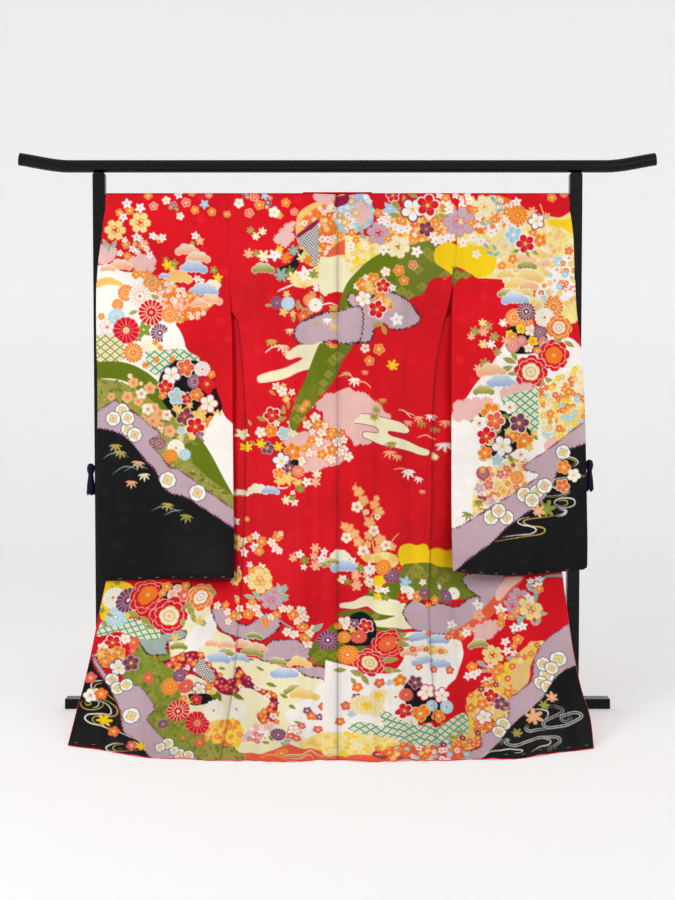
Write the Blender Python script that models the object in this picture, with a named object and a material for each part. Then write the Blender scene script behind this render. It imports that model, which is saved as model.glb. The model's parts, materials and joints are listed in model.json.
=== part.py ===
"""A furisode hung on an iko, the lacquered stand for a kimono, with its back shown and its hem spread out.

Metres, +Z up. The origin is on the floor, under the middle of the base bar. The stand's rails run along X,
the garment's back faces -Y, and the wearer's left is at -X. A side is -1 for left and +1 for right.
"""

import bmesh
import bpy
import numpy as np

# Cloth
CLOTH = 0.0016  # a wall of outer cloth and lining
COLLAR_CLOTH = 0.0024  # the collar is doubled
SEAM = 0.0005  # between two walls' edges that meet at a seam
OKUMI_SEAM = 0.0009  # the same at the okumi, where the front turns over
ARMHOLE = 0.0008  # the same at the armhole
FOLD_GAP = 0.0003  # down from the shoulder fold, on each side of it
FOLD_ANGLE = 1.5  # the same for a sleeve, round the bar in degrees
SHOULDER_RADIUS = 0.0112  # of the cloth where it lies over the hanging bar
LEAVES_BAR = 0.0176  # down from the shoulder fold to where the cloth hangs free of the bar
LENGTH = 1.62  # down from the shoulder fold to the hem
COLLAR_RADIUS = 0.0135
BACK_NECK_DEPTH = 0.010  # how far the back neck is cut down from the shoulder fold
BACK_NECK_OUT = 0.095  # half the width of that cut
BACK_NECK_EVEN = 0.10  # down from the fold to the first line that runs level again
FRONT_WIDTH = 0.245
NECK_FRONT_WIDTH = 0.208  # of the front at the shoulder, from armhole to neck
OKUMI_WIDTH = 0.155
OKUMI_TOP = 0.19  # down from the shoulder fold
OKUMI_FULL = 0.85  # where it has its full width, and where the collar ends
COLLAR_WIDTH = 0.055
COLLAR_LIFT = 0.0012  # how far the collar stands out from the front at the shoulder
SLEEVE_CORNER = 0.010  # radius of the sleeve's outer bottom corner
WRIST_OPENING = 0.23
REAR_OUT = 0.6318  # how far out the rear layer may lie beside the post, down to the wrist opening's end
SLEEVE_ROOM = 0.017  # how far the rear layer stands off in the middle
SLEEVE_SWELL = 0.003  # how far the front layer does
SLEEVE_MIDDLE = 0.44  # where across they stand off most

# Stand
RAIL_LENGTH = 1.739
RAIL_HEIGHT = 0.0342
RAIL_DEPTH = 0.034
RAIL_MIDDLE_Z = 1.4934
RAIL_END_RISE = 0.0194
RAIL_END_LENGTH = 0.137
RAIL_SIDES = 16
POST_X = 0.6514
POST_WIDTH = 0.0342
POST_DEPTH = 0.030
POST_NECK = 0.005  # height of the taper under the rail
POST_TAPER = 0.004
BASE_LENGTH = 1.509
BASE_DEPTH = 0.044
BASE_HEIGHT = 0.028
FOOT_WIDTH = 0.036
FOOT_HEIGHT = 0.024
FOOT_FRONT = -0.140
FOOT_BACK = 0.230
LAP_HEIGHT = 0.012
BAR_RADIUS = 0.009
BAR_Z = 1.409
EDGE = 0.0012  # the width that a square edge is eased
TOUCH = 0.0003  # between two pieces that touch

# Tassels, tied to the posts by a short cord
TASSEL_OUT = {-1: 0.6812, 1: 0.6955}
TASSEL_TOP = {-1: 0.6795, 1: 0.6900}
TASSEL_HEAD = (
    ("drop", "radius"),
    (0.0, 0.0045),
    (0.004, 0.0085),
    (0.012, 0.0110),
    (0.022, 0.0100),
    (0.029, 0.0070),
    (0.034, 0.0076),
)
TASSEL_SIDES = 12
TASSEL_ROOTS = ((0.0076, 0.0050), (0.0050, 0.0020))  # the rings that the strands grow from
TASSEL_SKIRT = 0.050
TASSEL_SPREAD = 1.75
STRAND_GAP = 0.00025
CORD_HALF = 0.0016

# The back's line down the centre seam and down the side, one row for each height. down is measured along
# the centre seam from the shoulder fold.
BACK = (
    ("down", "centre_y", "side_y", "z", "left_out", "right_out", "centre_x"),
    (0.0176, -0.0112, -0.0112, 1.4090, 0.3030, 0.3310, 0.0000),
    (0.067, -0.0170, -0.0118, 1.3600, 0.3014, 0.3290, 0.0000),
    (0.213, -0.0340, -0.0120, 1.2150, 0.2968, 0.3225, 0.0000),
    (0.328, -0.0467, -0.0120, 1.1000, 0.2905, 0.3010, 0.0000),
    (0.358, -0.0499, -0.0120, 1.0700, 0.2735, 0.2930, 0.0000),
    (0.499, -0.0650, -0.0155, 0.9300, 0.2580, 0.2670, 0.0000),
    (0.660, -0.0830, -0.0220, 0.7700, 0.2510, 0.2590, 0.0000),
    (0.833, -0.1130, -0.0420, 0.6000, 0.2513, 0.2575, 0.0000),
    (0.967, -0.1430, -0.0720, 0.4700, 0.2535, 0.2515, 0.0000),
    (1.071, -0.1780, -0.1100, 0.3700, 0.2565, 0.2465, 0.0000),
    (1.196, -0.2470, -0.1750, 0.2700, 0.2610, 0.2425, -0.0020),
    (1.320, -0.3340, -0.2500, 0.1800, 0.2645, 0.2435, -0.0090),
    (1.430, -0.4150, -0.3350, 0.1050, 0.2695, 0.2440, -0.0160),
    (1.508, -0.4750, -0.4150, 0.0550, 0.2745, 0.2420, -0.0165),
    (1.620, -0.5680, -0.5720, 0.0020, 0.2790, 0.2375, -0.0155),
)
# The front edge, and the handles that bend the front from the side seam to that edge. out is measured away
# from the centre. seam_out and seam_y lead from the back's side line to the front's.
FRONT = (
    ("down", "left_out", "right_out", "left_y", "right_y", "z",
     "near_out", "near_y", "far_out", "far_y", "seam_out", "seam_y"),
    (0.0176, 0.095, 0.095, 0.0112, 0.0112, 1.4090, -0.0693, 0.000, 0.0693, 0.000, 0.0000, 0.0224),
    (0.067, 0.104, 0.104, 0.0145, 0.0145, 1.3600, -0.066, 0.000, 0.066, 0.000, -0.0002, 0.0236),
    (0.213, 0.125, 0.125, 0.0300, 0.0300, 1.2150, -0.055, 0.004, 0.050, -0.010, -0.0004, 0.0215),
    (0.328, 0.150, 0.150, 0.0480, 0.0480, 1.1000, 0.065, 0.024, 0.065, 0.004, 0.0030, 0.0170),
    (0.358, 0.158, 0.158, 0.0520, 0.0520, 1.0700, 0.085, 0.024, 0.125, 0.010, 0.0015, 0.0017),
    (0.499, 0.205, 0.205, 0.0750, 0.0750, 0.9300, 0.100, 0.034, 0.155, 0.015, 0.0015, 0.0017),
    (0.660, 0.290, 0.290, 0.1050, 0.1050, 0.7750, 0.168, 0.032, 0.175, 0.020, 0.0015, 0.0017),
    (0.833, 0.360, 0.355, 0.1180, 0.1180, 0.6100, 0.155, 0.085, 0.135, 0.010, 0.0015, 0.0017),
    (0.967, 0.490, 0.485, 0.0720, 0.0720, 0.4800, 0.070, 0.070, 0.000, 0.000, 0.0015, 0.0016),
    (1.071, 0.625, 0.617, -0.0160, -0.0120, 0.3860, 0.042, 0.069, -0.130, 0.035, 0.0015, 0.0014),
    (1.130, 0.639, 0.6225, -0.0190, -0.0200, 0.3490, 0.075, 0.020, -0.150, 0.012, 0.0015, 0.0010),
    (1.196, 0.6470, 0.6250, -0.0700, -0.0700, 0.2850, 0.100, 0.010, -0.130, -0.010, 0.0014, 0.0005),
    (1.320, 0.6558, 0.6275, -0.1530, -0.1600, 0.1890, 0.110, 0.000, -0.140, -0.030, 0.0010, 0.0000),
    (1.430, 0.6625, 0.6330, -0.2500, -0.2620, 0.1080, 0.110, -0.010, -0.140, -0.040, 0.0008, 0.0000),
    (1.508, 0.6685, 0.6410, -0.3250, -0.3450, 0.0570, 0.110, -0.015, -0.140, -0.045, 0.0008, 0.0000),
    (1.620, 0.6700, 0.6320, -0.4290, -0.4570, 0.0020, 0.110, -0.012, -0.140, -0.080, 0.0008, 0.0000),
)
# Soft folds that run down the cloth: where each lies across, its half width, how far it stands out at the
# hem, and where it begins.
BACK_FOLDS = (
    ("across", "width", "rise", "begins"),
    (0.42, 0.40, -0.016, 0.60),
    (0.86, 0.10, -0.006, 0.40),
    (0.14, 0.10, 0.004, 0.30),
)
FRONT_FOLDS = (
    ("across", "width", "rise", "begins"),
    (0.22, 0.16, 0.010, 1.00),
    (0.52, 0.16, -0.009, 1.05),
    (0.80, 0.14, 0.007, 1.10),
)
# The neck stretch of the collar laid flat: x, and the length over the bar from its top, back being positive,
# for the sewn edge and the free edge.
COLLAR_NECK = (
    ("sewn_x", "sewn_over", "free_x", "free_over"),
    (0.0945, 0.0200, 0.0360, 0.0620),
    (0.0944, 0.0135, 0.0335, 0.0595),
    (0.0942, 0.0070, 0.0305, 0.0570),
    (0.0940, 0.0006, 0.0270, 0.0545),
    (0.0700, -0.0042, 0.018, 0.050),
    (0.0350, -0.0080, 0.009, 0.047),
    (0.0000, -0.0094, 0.000, 0.046),
)
# The sleeves' outlines and the lie of their front and rear layers at the inner and the outer edge
SLEEVE = (
    ("z", "left_inner", "right_inner", "left_outer", "right_outer",
     "front_inner", "front_outer", "rear_inner", "rear_outer"),
    (1.409, 0.3030, 0.3310, 0.6320, 0.6320, -0.0112, -0.0112, 0.0112, 0.0112),
    (1.378, 0.3020, 0.3296, 0.6325, 0.6325, -0.0115, -0.0176, 0.0113, 0.0110),
    (1.345, 0.3008, 0.3282, 0.6375, 0.6370, -0.0118, -0.0196, 0.0114, 0.0108),
    (1.290, 0.2991, 0.3259, 0.6437, 0.6430, -0.0120, -0.0213, 0.0106, 0.0010),
    (1.235, 0.2974, 0.3234, 0.6516, 0.6450, -0.0121, -0.0222, 0.0092, -0.0160),
    (1.180, 0.2952, 0.3190, 0.6560, 0.6465, -0.0128, -0.0232, 0.0010, -0.0170),
    (1.100, 0.2920, 0.3145, 0.6570, 0.6510, -0.0150, -0.0250, -0.0050, -0.0174),
    (1.020, 0.2892, 0.3137, 0.6571, 0.6617, -0.0180, -0.0262, -0.0085, -0.0178),
    (0.900, 0.2885, 0.3135, 0.6550, 0.6720, -0.0220, -0.0275, -0.0120, -0.0182),
    (0.720, 0.2876, 0.3135, 0.6558, 0.6788, -0.0300, -0.0298, -0.0200, -0.0190),
    (0.550, 0.2850, 0.3132, 0.6566, 0.6830, -0.0450, -0.0325, -0.0340, -0.0205),
    (0.450, 0.2825, 0.3129, 0.6530, 0.6848, -0.0750, -0.0340, -0.0630, -0.0215),
    (0.370, 0.2804, 0.3126, 0.6490, 0.6840, -0.1120, -0.0355, -0.0985, -0.0225),
)
# The sleeves' bottom seams from the inner to the outer edge
SLEEVE_BOTTOM = (
    ("across", "left_z", "right_z"),
    (0.0, 0.3755, 0.3930),
    (0.5, 0.3650, 0.3745),
    (1.0, 0.3580, 0.3890),
)

# How far down from the fold, and how far across, the cloth has its lines of points
BACK_STEPS = (0, 0.0045, 0.009, 0.0135, LEAVES_BAR, 0.04, 0.10, 0.16, 0.213, 0.255, 0.29, 0.31, 0.328, 0.358,
              0.42, 0.499, 0.58, 0.66, 0.745, 0.833, 0.90, 0.967, 1.02, 1.071, 1.13, 1.196, 1.26, 1.32, 1.375,
              1.43, 1.47, 1.508, 1.56, LENGTH)
NECK_COLUMNS = 3
FRONT_LINES = (0.0, 0.17, 0.34, 0.51, 0.68, 0.84, 0.95, 1.0)  # close together at the okumi seam
OKUMI_LINES = (0.0, 0.08, 0.22, 0.45, 0.72, 1.0)
COLLAR_CELLS = 6
SLEEVE_COLUMNS = 7
SLEEVE_STEPS = (0.0, 0.03, 0.062, 0.115, 0.17, 0.22, 0.30, 0.40, 0.50, 0.60, 0.70, 0.80, 0.87, 0.93, 0.965,
                0.985, 1.0)

FINISHES = {
    "dyed_silk": ((0.60, 0.012, 0.022), 0.55, 0.0),
    "lacquer": ((0.012, 0.012, 0.013), 0.25, 0.0),
    "cord_silk": ((0.035, 0.012, 0.060), 0.5, 0.0),
}


def columns(table):
    """The table's columns by name."""
    names, *rows = table
    return dict(zip(names, np.array(rows, float).T, strict=True))


def smooth(keys, values, where):
    """A smooth curve through the values, with no overshoot between them."""
    step = np.diff(keys)
    slope = np.diff(values) / step
    product = slope[:-1] * slope[1:]
    total = slope[:-1] + slope[1:]
    inner = np.where(product > 0, 2 * product / np.where(product > 0, total, 1), 0)
    tangent = np.concatenate([slope[:1], inner, slope[-1:]])
    where = np.clip(where, keys[0], keys[-1])
    i = np.clip(np.searchsorted(keys, where, side="right") - 1, 0, len(step) - 1)
    t = (where - keys[i]) / step[i]
    rise = values[i + 1] - values[i]
    bend = t * (1 - t) * step[i] * ((1 - t) * (tangent[i] - slope[i]) - t * (tangent[i + 1] - slope[i]))
    return values[i] + rise * t + bend


def read(table, key, where):
    """Every column of the table at the given keys."""
    found = columns(table)
    return {name: smooth(found[key], values, where) for name, values in found.items()}


def soft_step(t):
    """0 to 1 with level ends."""
    t = np.clip(t, 0, 1)
    return t * t * (3 - 2 * t)


def fold_height(table, across, down):
    """How far the cloth's soft folds stand out at each point."""
    height = np.zeros(np.broadcast(across, down).shape)
    for middle, half, rise, begins in table[1:]:
        bell = np.clip(1 - ((across - middle) / half) ** 2, 0, 1) ** 2
        height = height + rise * bell * soft_step((down - begins) / (LENGTH - begins))
    return height


def over_bar(x, over, radius):
    """A point on a sheet that lies over the hanging bar and hangs straight down on both sides of it."""
    quarter = radius * np.pi / 2
    angle = np.clip(over, -quarter, quarter) / radius
    y = radius * np.sin(angle)
    z = BAR_Z + radius * np.cos(angle) - np.clip(np.abs(over) - quarter, 0, None)
    return np.stack(np.broadcast_arrays(x, y, z), -1)


def side_name(side):
    return "left" if side < 0 else "right"


def back_point(side, across, down):
    """The back, across from the centre seam at 0 to the side at 1."""
    row = read(BACK, "down", down)
    side_x = side * row[side_name(side) + "_out"]
    centre_x = row["centre_x"] + side * SEAM / 2
    x = centre_x + (side_x - centre_x) * across
    lean = across**1.8
    y = row["centre_y"] + (row["side_y"] - row["centre_y"]) * lean
    z = row["z"] + 0 * across
    hung = np.stack([x, y + fold_height(BACK_FOLDS, across, down), z], -1)
    shoulder = over_bar(x, -down, SHOULDER_RADIUS)
    return np.where((down < LEAVES_BAR)[..., None], shoulder, hung)


def front_point(side, across, down):
    """The front and okumi in one, across from the side at 0 to the front edge at 1."""
    row = read(FRONT, "down", down)
    name = side_name(side)
    seam = back_point(side, np.ones_like(down), down)
    start_out = side * seam[..., 0] + row["seam_out"]
    start_y = seam[..., 1] + row["seam_y"]
    end_out = row[name + "_out"]
    end_y = row[name + "_y"]
    out = bend(start_out, start_out + row["near_out"], end_out + row["far_out"], end_out, across)
    y = bend(start_y, start_y + row["near_y"], end_y + row["far_y"], end_y, across)
    z = seam[..., 2] + (row["z"] - seam[..., 2]) * across
    hung = np.stack([side * out, y + fold_height(FRONT_FOLDS, across, down), z], -1)
    straight_out = start_out + (end_out - start_out) * across
    shoulder = over_bar(side * straight_out, down, SHOULDER_RADIUS)
    return np.where((down < LEAVES_BAR)[..., None], shoulder, hung)


def bend(start, near, far, end, t):
    """A cubic curve with two handles."""
    s = 1 - t
    return s**3 * start + 3 * s * s * t * near + 3 * s * t * t * far + t**3 * end


def front_share(down):
    """The part of the front sheet that lies between the side and the okumi seam."""
    front = NECK_FRONT_WIDTH + (FRONT_WIDTH - NECK_FRONT_WIDTH) * np.clip(down / OKUMI_TOP, 0, 1)
    okumi = OKUMI_WIDTH * np.clip((down - OKUMI_TOP) / (OKUMI_FULL - OKUMI_TOP), 0, 1)
    return front / (front + okumi)


def front_width(side, down):
    """The hung length of the front sheet across, from the side to the front edge."""
    across = np.linspace(0, 1, 33)
    line = front_point(side, across, np.asarray(down)[..., None] + 0 * across)
    return np.linalg.norm(np.diff(line, axis=-2), axis=-1).sum(-1)


def sheet_object(name, points, faces, thickness, finish):
    """One wall of cloth from a surface, with half its thickness on each side."""
    mesh = bpy.data.meshes.new(name)
    mesh.from_pydata([tuple(map(float, p)) for p in points], [], faces)
    mesh.update()
    thing = add_object(name, mesh, finish)
    wall = thing.modifiers.new("wall", "SOLIDIFY")
    wall.thickness = thickness
    wall.offset = 0
    mesh.shade_smooth()
    mesh.set_sharp_from_angle(angle=np.radians(50))
    return thing


def grid_faces(rows, cols, first=0, turned=False):
    """Quads of a grid stored row by row from the vertex first."""
    faces = []
    for r in range(rows - 1):
        for c in range(cols - 1):
            a = first + r * cols + c
            quad = (a, a + 1, a + cols + 1, a + cols)
            faces.append(quad[::-1] if turned else quad)
    return faces


def back(side):
    """The back from the shoulder fold to the hem, with the neck cut at its inner edge."""
    down = np.array([FOLD_GAP, *BACK_STEPS[1:]])
    neck_across = BACK_NECK_OUT / read(BACK, "down", np.array([0.0]))[side_name(side) + "_out"][0]
    inner = np.linspace(0, neck_across, NECK_COLUMNS + 1)[:-1]
    outer = 1 - (1 - neck_across) * np.array(FRONT_LINES)[::-1]
    across, drop = np.meshgrid(np.concatenate([inner, outer]), down)
    neck = BACK_NECK_DEPTH * (1 - np.clip(across / neck_across, 0, 1) ** 2)
    drop = np.where(drop < BACK_NECK_EVEN, neck + drop * (BACK_NECK_EVEN - neck) / BACK_NECK_EVEN, drop)
    points = back_point(side, across, drop)
    faces = grid_faces(*across.shape, turned=side < 0)
    return sheet_object("back_" + side_name(side), points.reshape(-1, 3), faces, CLOTH, "dyed_silk")


def front(side):
    """The front from the shoulder fold to the hem, as far as the okumi's seam."""
    across, drop = np.meshgrid(np.array(FRONT_LINES), [FOLD_GAP, *BACK_STEPS[1:]])
    share = front_share(drop)
    stop = np.where(share < 1, share - 0.5 * OKUMI_SEAM / front_width(side, drop), 1)
    points = front_point(side, across * stop, drop)
    faces = grid_faces(*across.shape, turned=side < 0)
    return sheet_object("front_" + side_name(side), points.reshape(-1, 3), faces, CLOTH, "dyed_silk")


def okumi(side):
    """The overlap strip, from its point below the neck to the hem."""
    down = np.array([0.205, *[d for d in BACK_STEPS if d > 0.22]])
    t, drop = np.meshgrid(np.array(OKUMI_LINES), down)
    start = front_share(drop) + 0.5 * OKUMI_SEAM / front_width(side, drop)
    points = front_point(side, start + (1 - start) * t, drop)
    faces = grid_faces(*t.shape, turned=side < 0)
    return sheet_object("okumi_" + side_name(side), points.reshape(-1, 3), faces, CLOTH, "dyed_silk")


def collar_front(side, down):
    """The collar's sewn and free edges down a front."""
    end = front_point(side, np.ones_like(down), down)
    before = front_point(side, np.full_like(down, 0.97), down)
    way = end - before
    way[:, 2] = 0
    way /= np.linalg.norm(way, axis=1)[:, None]
    sewn = end + way * 1.5 * SEAM
    free = end + way * COLLAR_WIDTH
    lift = COLLAR_LIFT * np.clip(1 - down / 0.25, 0, 1)
    sewn[:, 1] += lift
    free[:, 1] += lift
    return sewn, free


def collar():
    """One doubled band down a front, round the back neck and down the other front."""
    t = np.linspace(0, 1, COLLAR_CELLS + 1)
    down = np.array([d for d in BACK_STEPS if 0.05 < d < OKUMI_FULL])[::-1]
    lines = []
    sewn, free = collar_front(-1, down)
    lines += [a + (b - a) * t[:, None] for a, b in zip(sewn, free, strict=True)]
    neck = columns(COLLAR_NECK)
    flat = np.stack([neck[name] for name in COLLAR_NECK[0]], -1)
    mirrored = flat[-2::-1] * (-1, 1, -1, 1)
    for sewn_x, sewn_over, free_x, free_over in np.concatenate([flat, mirrored]) * (-1, 1, -1, 1):
        x = sewn_x + (free_x - sewn_x) * t
        over = sewn_over + (free_over - sewn_over) * t
        lines.append(over_bar(x, over, COLLAR_RADIUS))
    sewn, free = collar_front(1, down[::-1])
    lines += [a + (b - a) * t[:, None] for a, b in zip(sewn, free, strict=True)]
    points = np.concatenate(lines)
    faces = grid_faces(len(lines), len(t))
    return sheet_object("collar", points, faces, COLLAR_CLOTH, "dyed_silk")


def body_side_out(side, z):
    """How far out the back's side edge is at each height."""
    back = columns(BACK)
    return smooth(back["z"][::-1], back[side_name(side) + "_out"][::-1], z)


def sleeve_layers(side, across, share):
    """Points of the front and the rear layer. share runs from the bar at 0 to the bottom seam at 1."""
    name = side_name(side)
    bottom = read(SLEEVE_BOTTOM, "across", across)[name + "_z"]
    z = BAR_Z - (BAR_Z - bottom) * share
    row = read(SLEEVE[:1] + SLEEVE[:0:-1], "z", z)
    inner = np.maximum(row[name + "_inner"], body_side_out(side, z) + ARMHOLE)
    outer = row[name + "_outer"]
    above = np.clip(z - bottom, 0, SLEEVE_CORNER)
    outer = outer - SLEEVE_CORNER + np.sqrt(SLEEVE_CORNER**2 - (SLEEVE_CORNER - above) ** 2)
    out = inner + (outer - inner) * across
    close = soft_step((z - (BAR_Z - WRIST_OPENING + 0.012)) / 0.02)
    rear_outer = outer + (np.minimum(outer, REAR_OUT) - outer) * close
    rear_out = inner + (rear_outer - inner) * across
    lie = soft_step(across * 1.6)
    room = np.clip(1 - ((across - SLEEVE_MIDDLE) / SLEEVE_MIDDLE) ** 2, 0, 1) ** 1.3
    room = room * soft_step((z - bottom) / 0.16) * soft_step((BAR_Z - z) / 0.09)
    front_y = row["front_inner"] + (row["front_outer"] - row["front_inner"]) * lie - SLEEVE_SWELL * room
    rear_y = row["rear_inner"] + (row["rear_outer"] - row["rear_inner"]) * lie + SLEEVE_ROOM * room
    front = np.stack([side * out, front_y, z], -1)
    rear = np.stack([side * rear_out, rear_y, z], -1)
    return front, rear


def sleeve(side, layer):
    """One layer of a flat pouch over the bar.

    The two layers meet at the fold over the bar, at the bottom seam and up the outer edge to the wrist, and
    stand apart along the inner edge.
    """
    across, share = np.meshgrid(np.linspace(0, 1, SLEEVE_COLUMNS + 1), np.array(SLEEVE_STEPS))
    near, far = sleeve_layers(side, across, share)
    points = near if layer == "near" else far
    sign = -1 if layer == "near" else 1
    middle = (near[..., 1] + far[..., 1]) / 2
    apart = middle + sign * (CLOTH + SEAM) / 2
    sewn = np.where(share > 0.99, 1.0, 0.0)
    sewn[:, -1] = soft_step((share[:, -1] - 0.16) / 0.06)
    points[..., 1] += (apart - points[..., 1]) * sewn
    angles = sign * np.radians([FOLD_ANGLE, 25, 50, 75])
    over = np.repeat(points[:1], len(angles), axis=0)
    over[..., 1] = SHOULDER_RADIUS * np.sin(angles)[:, None]
    over[..., 2] = BAR_Z + SHOULDER_RADIUS * np.cos(angles)[:, None]
    points = np.concatenate([over, points])
    faces = grid_faces(*points.shape[:2], turned=(side < 0) == (layer == "near"))
    name = "sleeve_%s_%s" % (side_name(side), layer)
    return sheet_object(name, points.reshape(-1, 3), faces, CLOTH, "dyed_silk")


def material(name, finish):
    """One piece's own plain finish."""
    colour, roughness, metallic = FINISHES[finish]
    made = bpy.data.materials.new(name)
    made.use_nodes = True
    shader = made.node_tree.nodes["Principled BSDF"]
    shader.inputs["Base Color"].default_value = (*colour, 1)
    shader.inputs["Roughness"].default_value = roughness
    shader.inputs["Metallic"].default_value = metallic
    made.diffuse_color = (*colour, 1)
    return made


def add_object(name, mesh, finish):
    thing = bpy.data.objects.new(name, mesh)
    mesh.materials.append(material(name, finish))
    bpy.context.scene.collection.objects.link(thing)
    return thing


def mesh_object(name, form, finish):
    """An object from a bmesh, which is freed."""
    bmesh.ops.recalc_face_normals(form, faces=form.faces)
    mesh = bpy.data.meshes.new(name)
    form.to_mesh(mesh)
    form.free()
    return add_object(name, mesh, finish)


def prism(name, outline, axis, start, end, finish, bevel=0.0):
    """A straight bar of one outline, whose points are in the two axes other than the given one."""
    form = bmesh.new()
    others = [i for i in range(3) if i != axis]
    low = []
    for pair in outline:
        place = [0.0, 0.0, 0.0]
        place[axis] = start
        place[others[0]] = pair[0]
        place[others[1]] = pair[1]
        low.append(form.verts.new(place))
    face = form.faces.new(low)
    moved = bmesh.ops.extrude_face_region(form, geom=[face])
    way = [0.0, 0.0, 0.0]
    way[axis] = end - start
    verts = [v for v in moved["geom"] if isinstance(v, bmesh.types.BMVert)]
    bmesh.ops.translate(form, verts=verts, vec=way)
    thing = mesh_object(name, form, finish)
    if bevel:
        edge = thing.modifiers.new("edge", "BEVEL")
        edge.width = bevel
        edge.segments = 2
        edge.limit_method = "ANGLE"
    return thing


def rounded(thing):
    """Smooth shading, but for the edges of flat ends."""
    thing.data.shade_smooth()
    thing.data.set_sharp_from_angle(angle=np.radians(40))
    return thing


def top_rail():
    """The rail whose ends curve up."""
    around = 2 * np.pi * (np.arange(RAIL_SIDES) + 0.5) / RAIL_SIDES
    section = [(RAIL_DEPTH / 2 * np.cos(a), RAIL_HEIGHT / 2 * np.sin(a)) for a in around]
    half = RAIL_LENGTH / 2
    bent = np.linspace(half - RAIL_END_LENGTH, half, 9)
    places = np.concatenate([-bent[::-1], bent])
    form = bmesh.new()
    rings = []
    for x in places:
        t = np.clip((abs(x) - half + RAIL_END_LENGTH) / RAIL_END_LENGTH, 0, 1)
        rise = RAIL_END_RISE * t * t * (2 - t)
        slope = RAIL_END_RISE * (4 * t - 3 * t * t) / RAIL_END_LENGTH * np.sign(x)
        ring = []
        for y, z in section:
            ring.append(form.verts.new((x - slope * z, y, RAIL_MIDDLE_Z + rise + z)))
        rings.append(ring)
    for a, b in zip(rings, rings[1:], strict=False):
        for i in range(len(section)):
            j = (i + 1) % len(section)
            form.faces.new((a[i], a[j], b[j], b[i]))
    form.faces.new(rings[0])
    form.faces.new(rings[-1])
    return rounded(mesh_object("top_rail", form, "lacquer"))


def posts():
    """Two uprights with a small neck under the rail."""
    bottom = BASE_HEIGHT + TOUCH
    top = RAIL_MIDDLE_Z - RAIL_HEIGHT / 2 - TOUCH
    half = POST_WIDTH / 2
    for side in (-1, 1):
        x = side * POST_X
        outline = [(x - half, bottom), (x + half, bottom), (x + half, top - POST_NECK),
                   (x + half - POST_TAPER, top), (x - half + POST_TAPER, top), (x - half, top - POST_NECK)]
        prism("post_" + side_name(side), outline, 1, -POST_DEPTH / 2, POST_DEPTH / 2, "lacquer", 0.0025)


def base_and_feet():
    """The base bar, lapped over two feet that run from front to back."""
    half = BASE_LENGTH / 2
    notch = FOOT_WIDTH / 2 + TOUCH
    cut = LAP_HEIGHT + TOUCH
    outline = [(-half, 0), (-half, BASE_HEIGHT), (half, BASE_HEIGHT), (half, 0)]
    for x in (POST_X, -POST_X):
        outline += [(x + notch, 0), (x + notch, cut), (x - notch, cut), (x - notch, 0)]
    prism("base_bar", outline, 1, -BASE_DEPTH / 2, BASE_DEPTH / 2, "lacquer", EDGE)
    lap = BASE_DEPTH / 2 + TOUCH
    for side in (-1, 1):
        x = side * POST_X
        profile = [(FOOT_FRONT, 0), (FOOT_FRONT, FOOT_HEIGHT * 0.6), (FOOT_FRONT + 0.02, FOOT_HEIGHT),
                   (-lap, FOOT_HEIGHT), (-lap, LAP_HEIGHT), (lap, LAP_HEIGHT), (lap, FOOT_HEIGHT),
                   (FOOT_BACK - 0.02, FOOT_HEIGHT), (FOOT_BACK, FOOT_HEIGHT * 0.6), (FOOT_BACK, 0)]
        prism("foot_" + side_name(side), profile, 0, x - FOOT_WIDTH / 2, x + FOOT_WIDTH / 2, "lacquer", EDGE)


def hanging_bar():
    """The round bar inside the sleeves that the garment hangs on."""
    length = 2 * (POST_X - POST_WIDTH / 2 - TOUCH)
    form = bmesh.new()
    bmesh.ops.create_cone(form, cap_ends=True, segments=RAIL_SIDES, radius1=BAR_RADIUS, radius2=BAR_RADIUS,
                          depth=length)
    bar = rounded(mesh_object("hanging_bar", form, "lacquer"))
    bar.rotation_euler = (0, np.pi / 2, 0)
    bar.location = (0, 0, BAR_Z)


def tassel(side):
    """A knotted head tied to the post, and a skirt of strands with their roots fused in the head."""
    centre = np.array([side * TASSEL_OUT[side], 0, TASSEL_TOP[side]])
    form = bmesh.new()

    def corner(radius, step, drop):
        angle = 2 * np.pi * step / TASSEL_SIDES
        return form.verts.new(centre + (radius * np.cos(angle), radius * np.sin(angle), -drop))

    head = columns(TASSEL_HEAD)
    rings = [[corner(radius, i, drop) for i in range(TASSEL_SIDES)]
             for drop, radius in zip(head["drop"], head["radius"], strict=True)]
    form.faces.new(rings[0])
    for upper, lower in zip(rings, rings[1:], strict=False):
        for i in range(TASSEL_SIDES):
            j = (i + 1) % TASSEL_SIDES
            form.faces.new((upper[i], upper[j], lower[j], lower[i]))
    drop = head["drop"][-1]
    edge = rings[-1]
    for _, radius in TASSEL_ROOTS:
        ring = [corner(radius, i, drop) for i in range(TASSEL_SIDES)]
        for i in range(TASSEL_SIDES):
            j = (i + 1) % TASSEL_SIDES
            strand(form, [edge[i], edge[j], ring[j], ring[i]], centre, TASSEL_SKIRT + 0.004 * np.sin(2.3 * i))
        edge = ring
    form.faces.new(edge[::-1])
    toward = 0 if side < 0 else TASSEL_SIDES // 2
    knot = [rings[2][toward], rings[2][toward - 1], rings[1][toward - 1], rings[1][toward]]
    face = form.faces.get(knot)
    form.faces.remove(face)
    post = side * (POST_X + POST_WIDTH / 2 + TOUCH)
    middle = sum((v.co for v in knot), knot[0].co * 0) / 4
    end = []
    for v in knot:
        y = middle.y + np.sign(v.co.y - middle.y) * CORD_HALF
        z = middle.z + np.sign(v.co.z - middle.z) * CORD_HALF
        end.append(form.verts.new((post, y, z)))
    for i in range(4):
        j = (i + 1) % 4
        form.faces.new((knot[i], knot[j], end[j], end[i]))
    form.faces.new(end)
    return mesh_object("tassel_" + side_name(side), form, "cord_silk")


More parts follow.
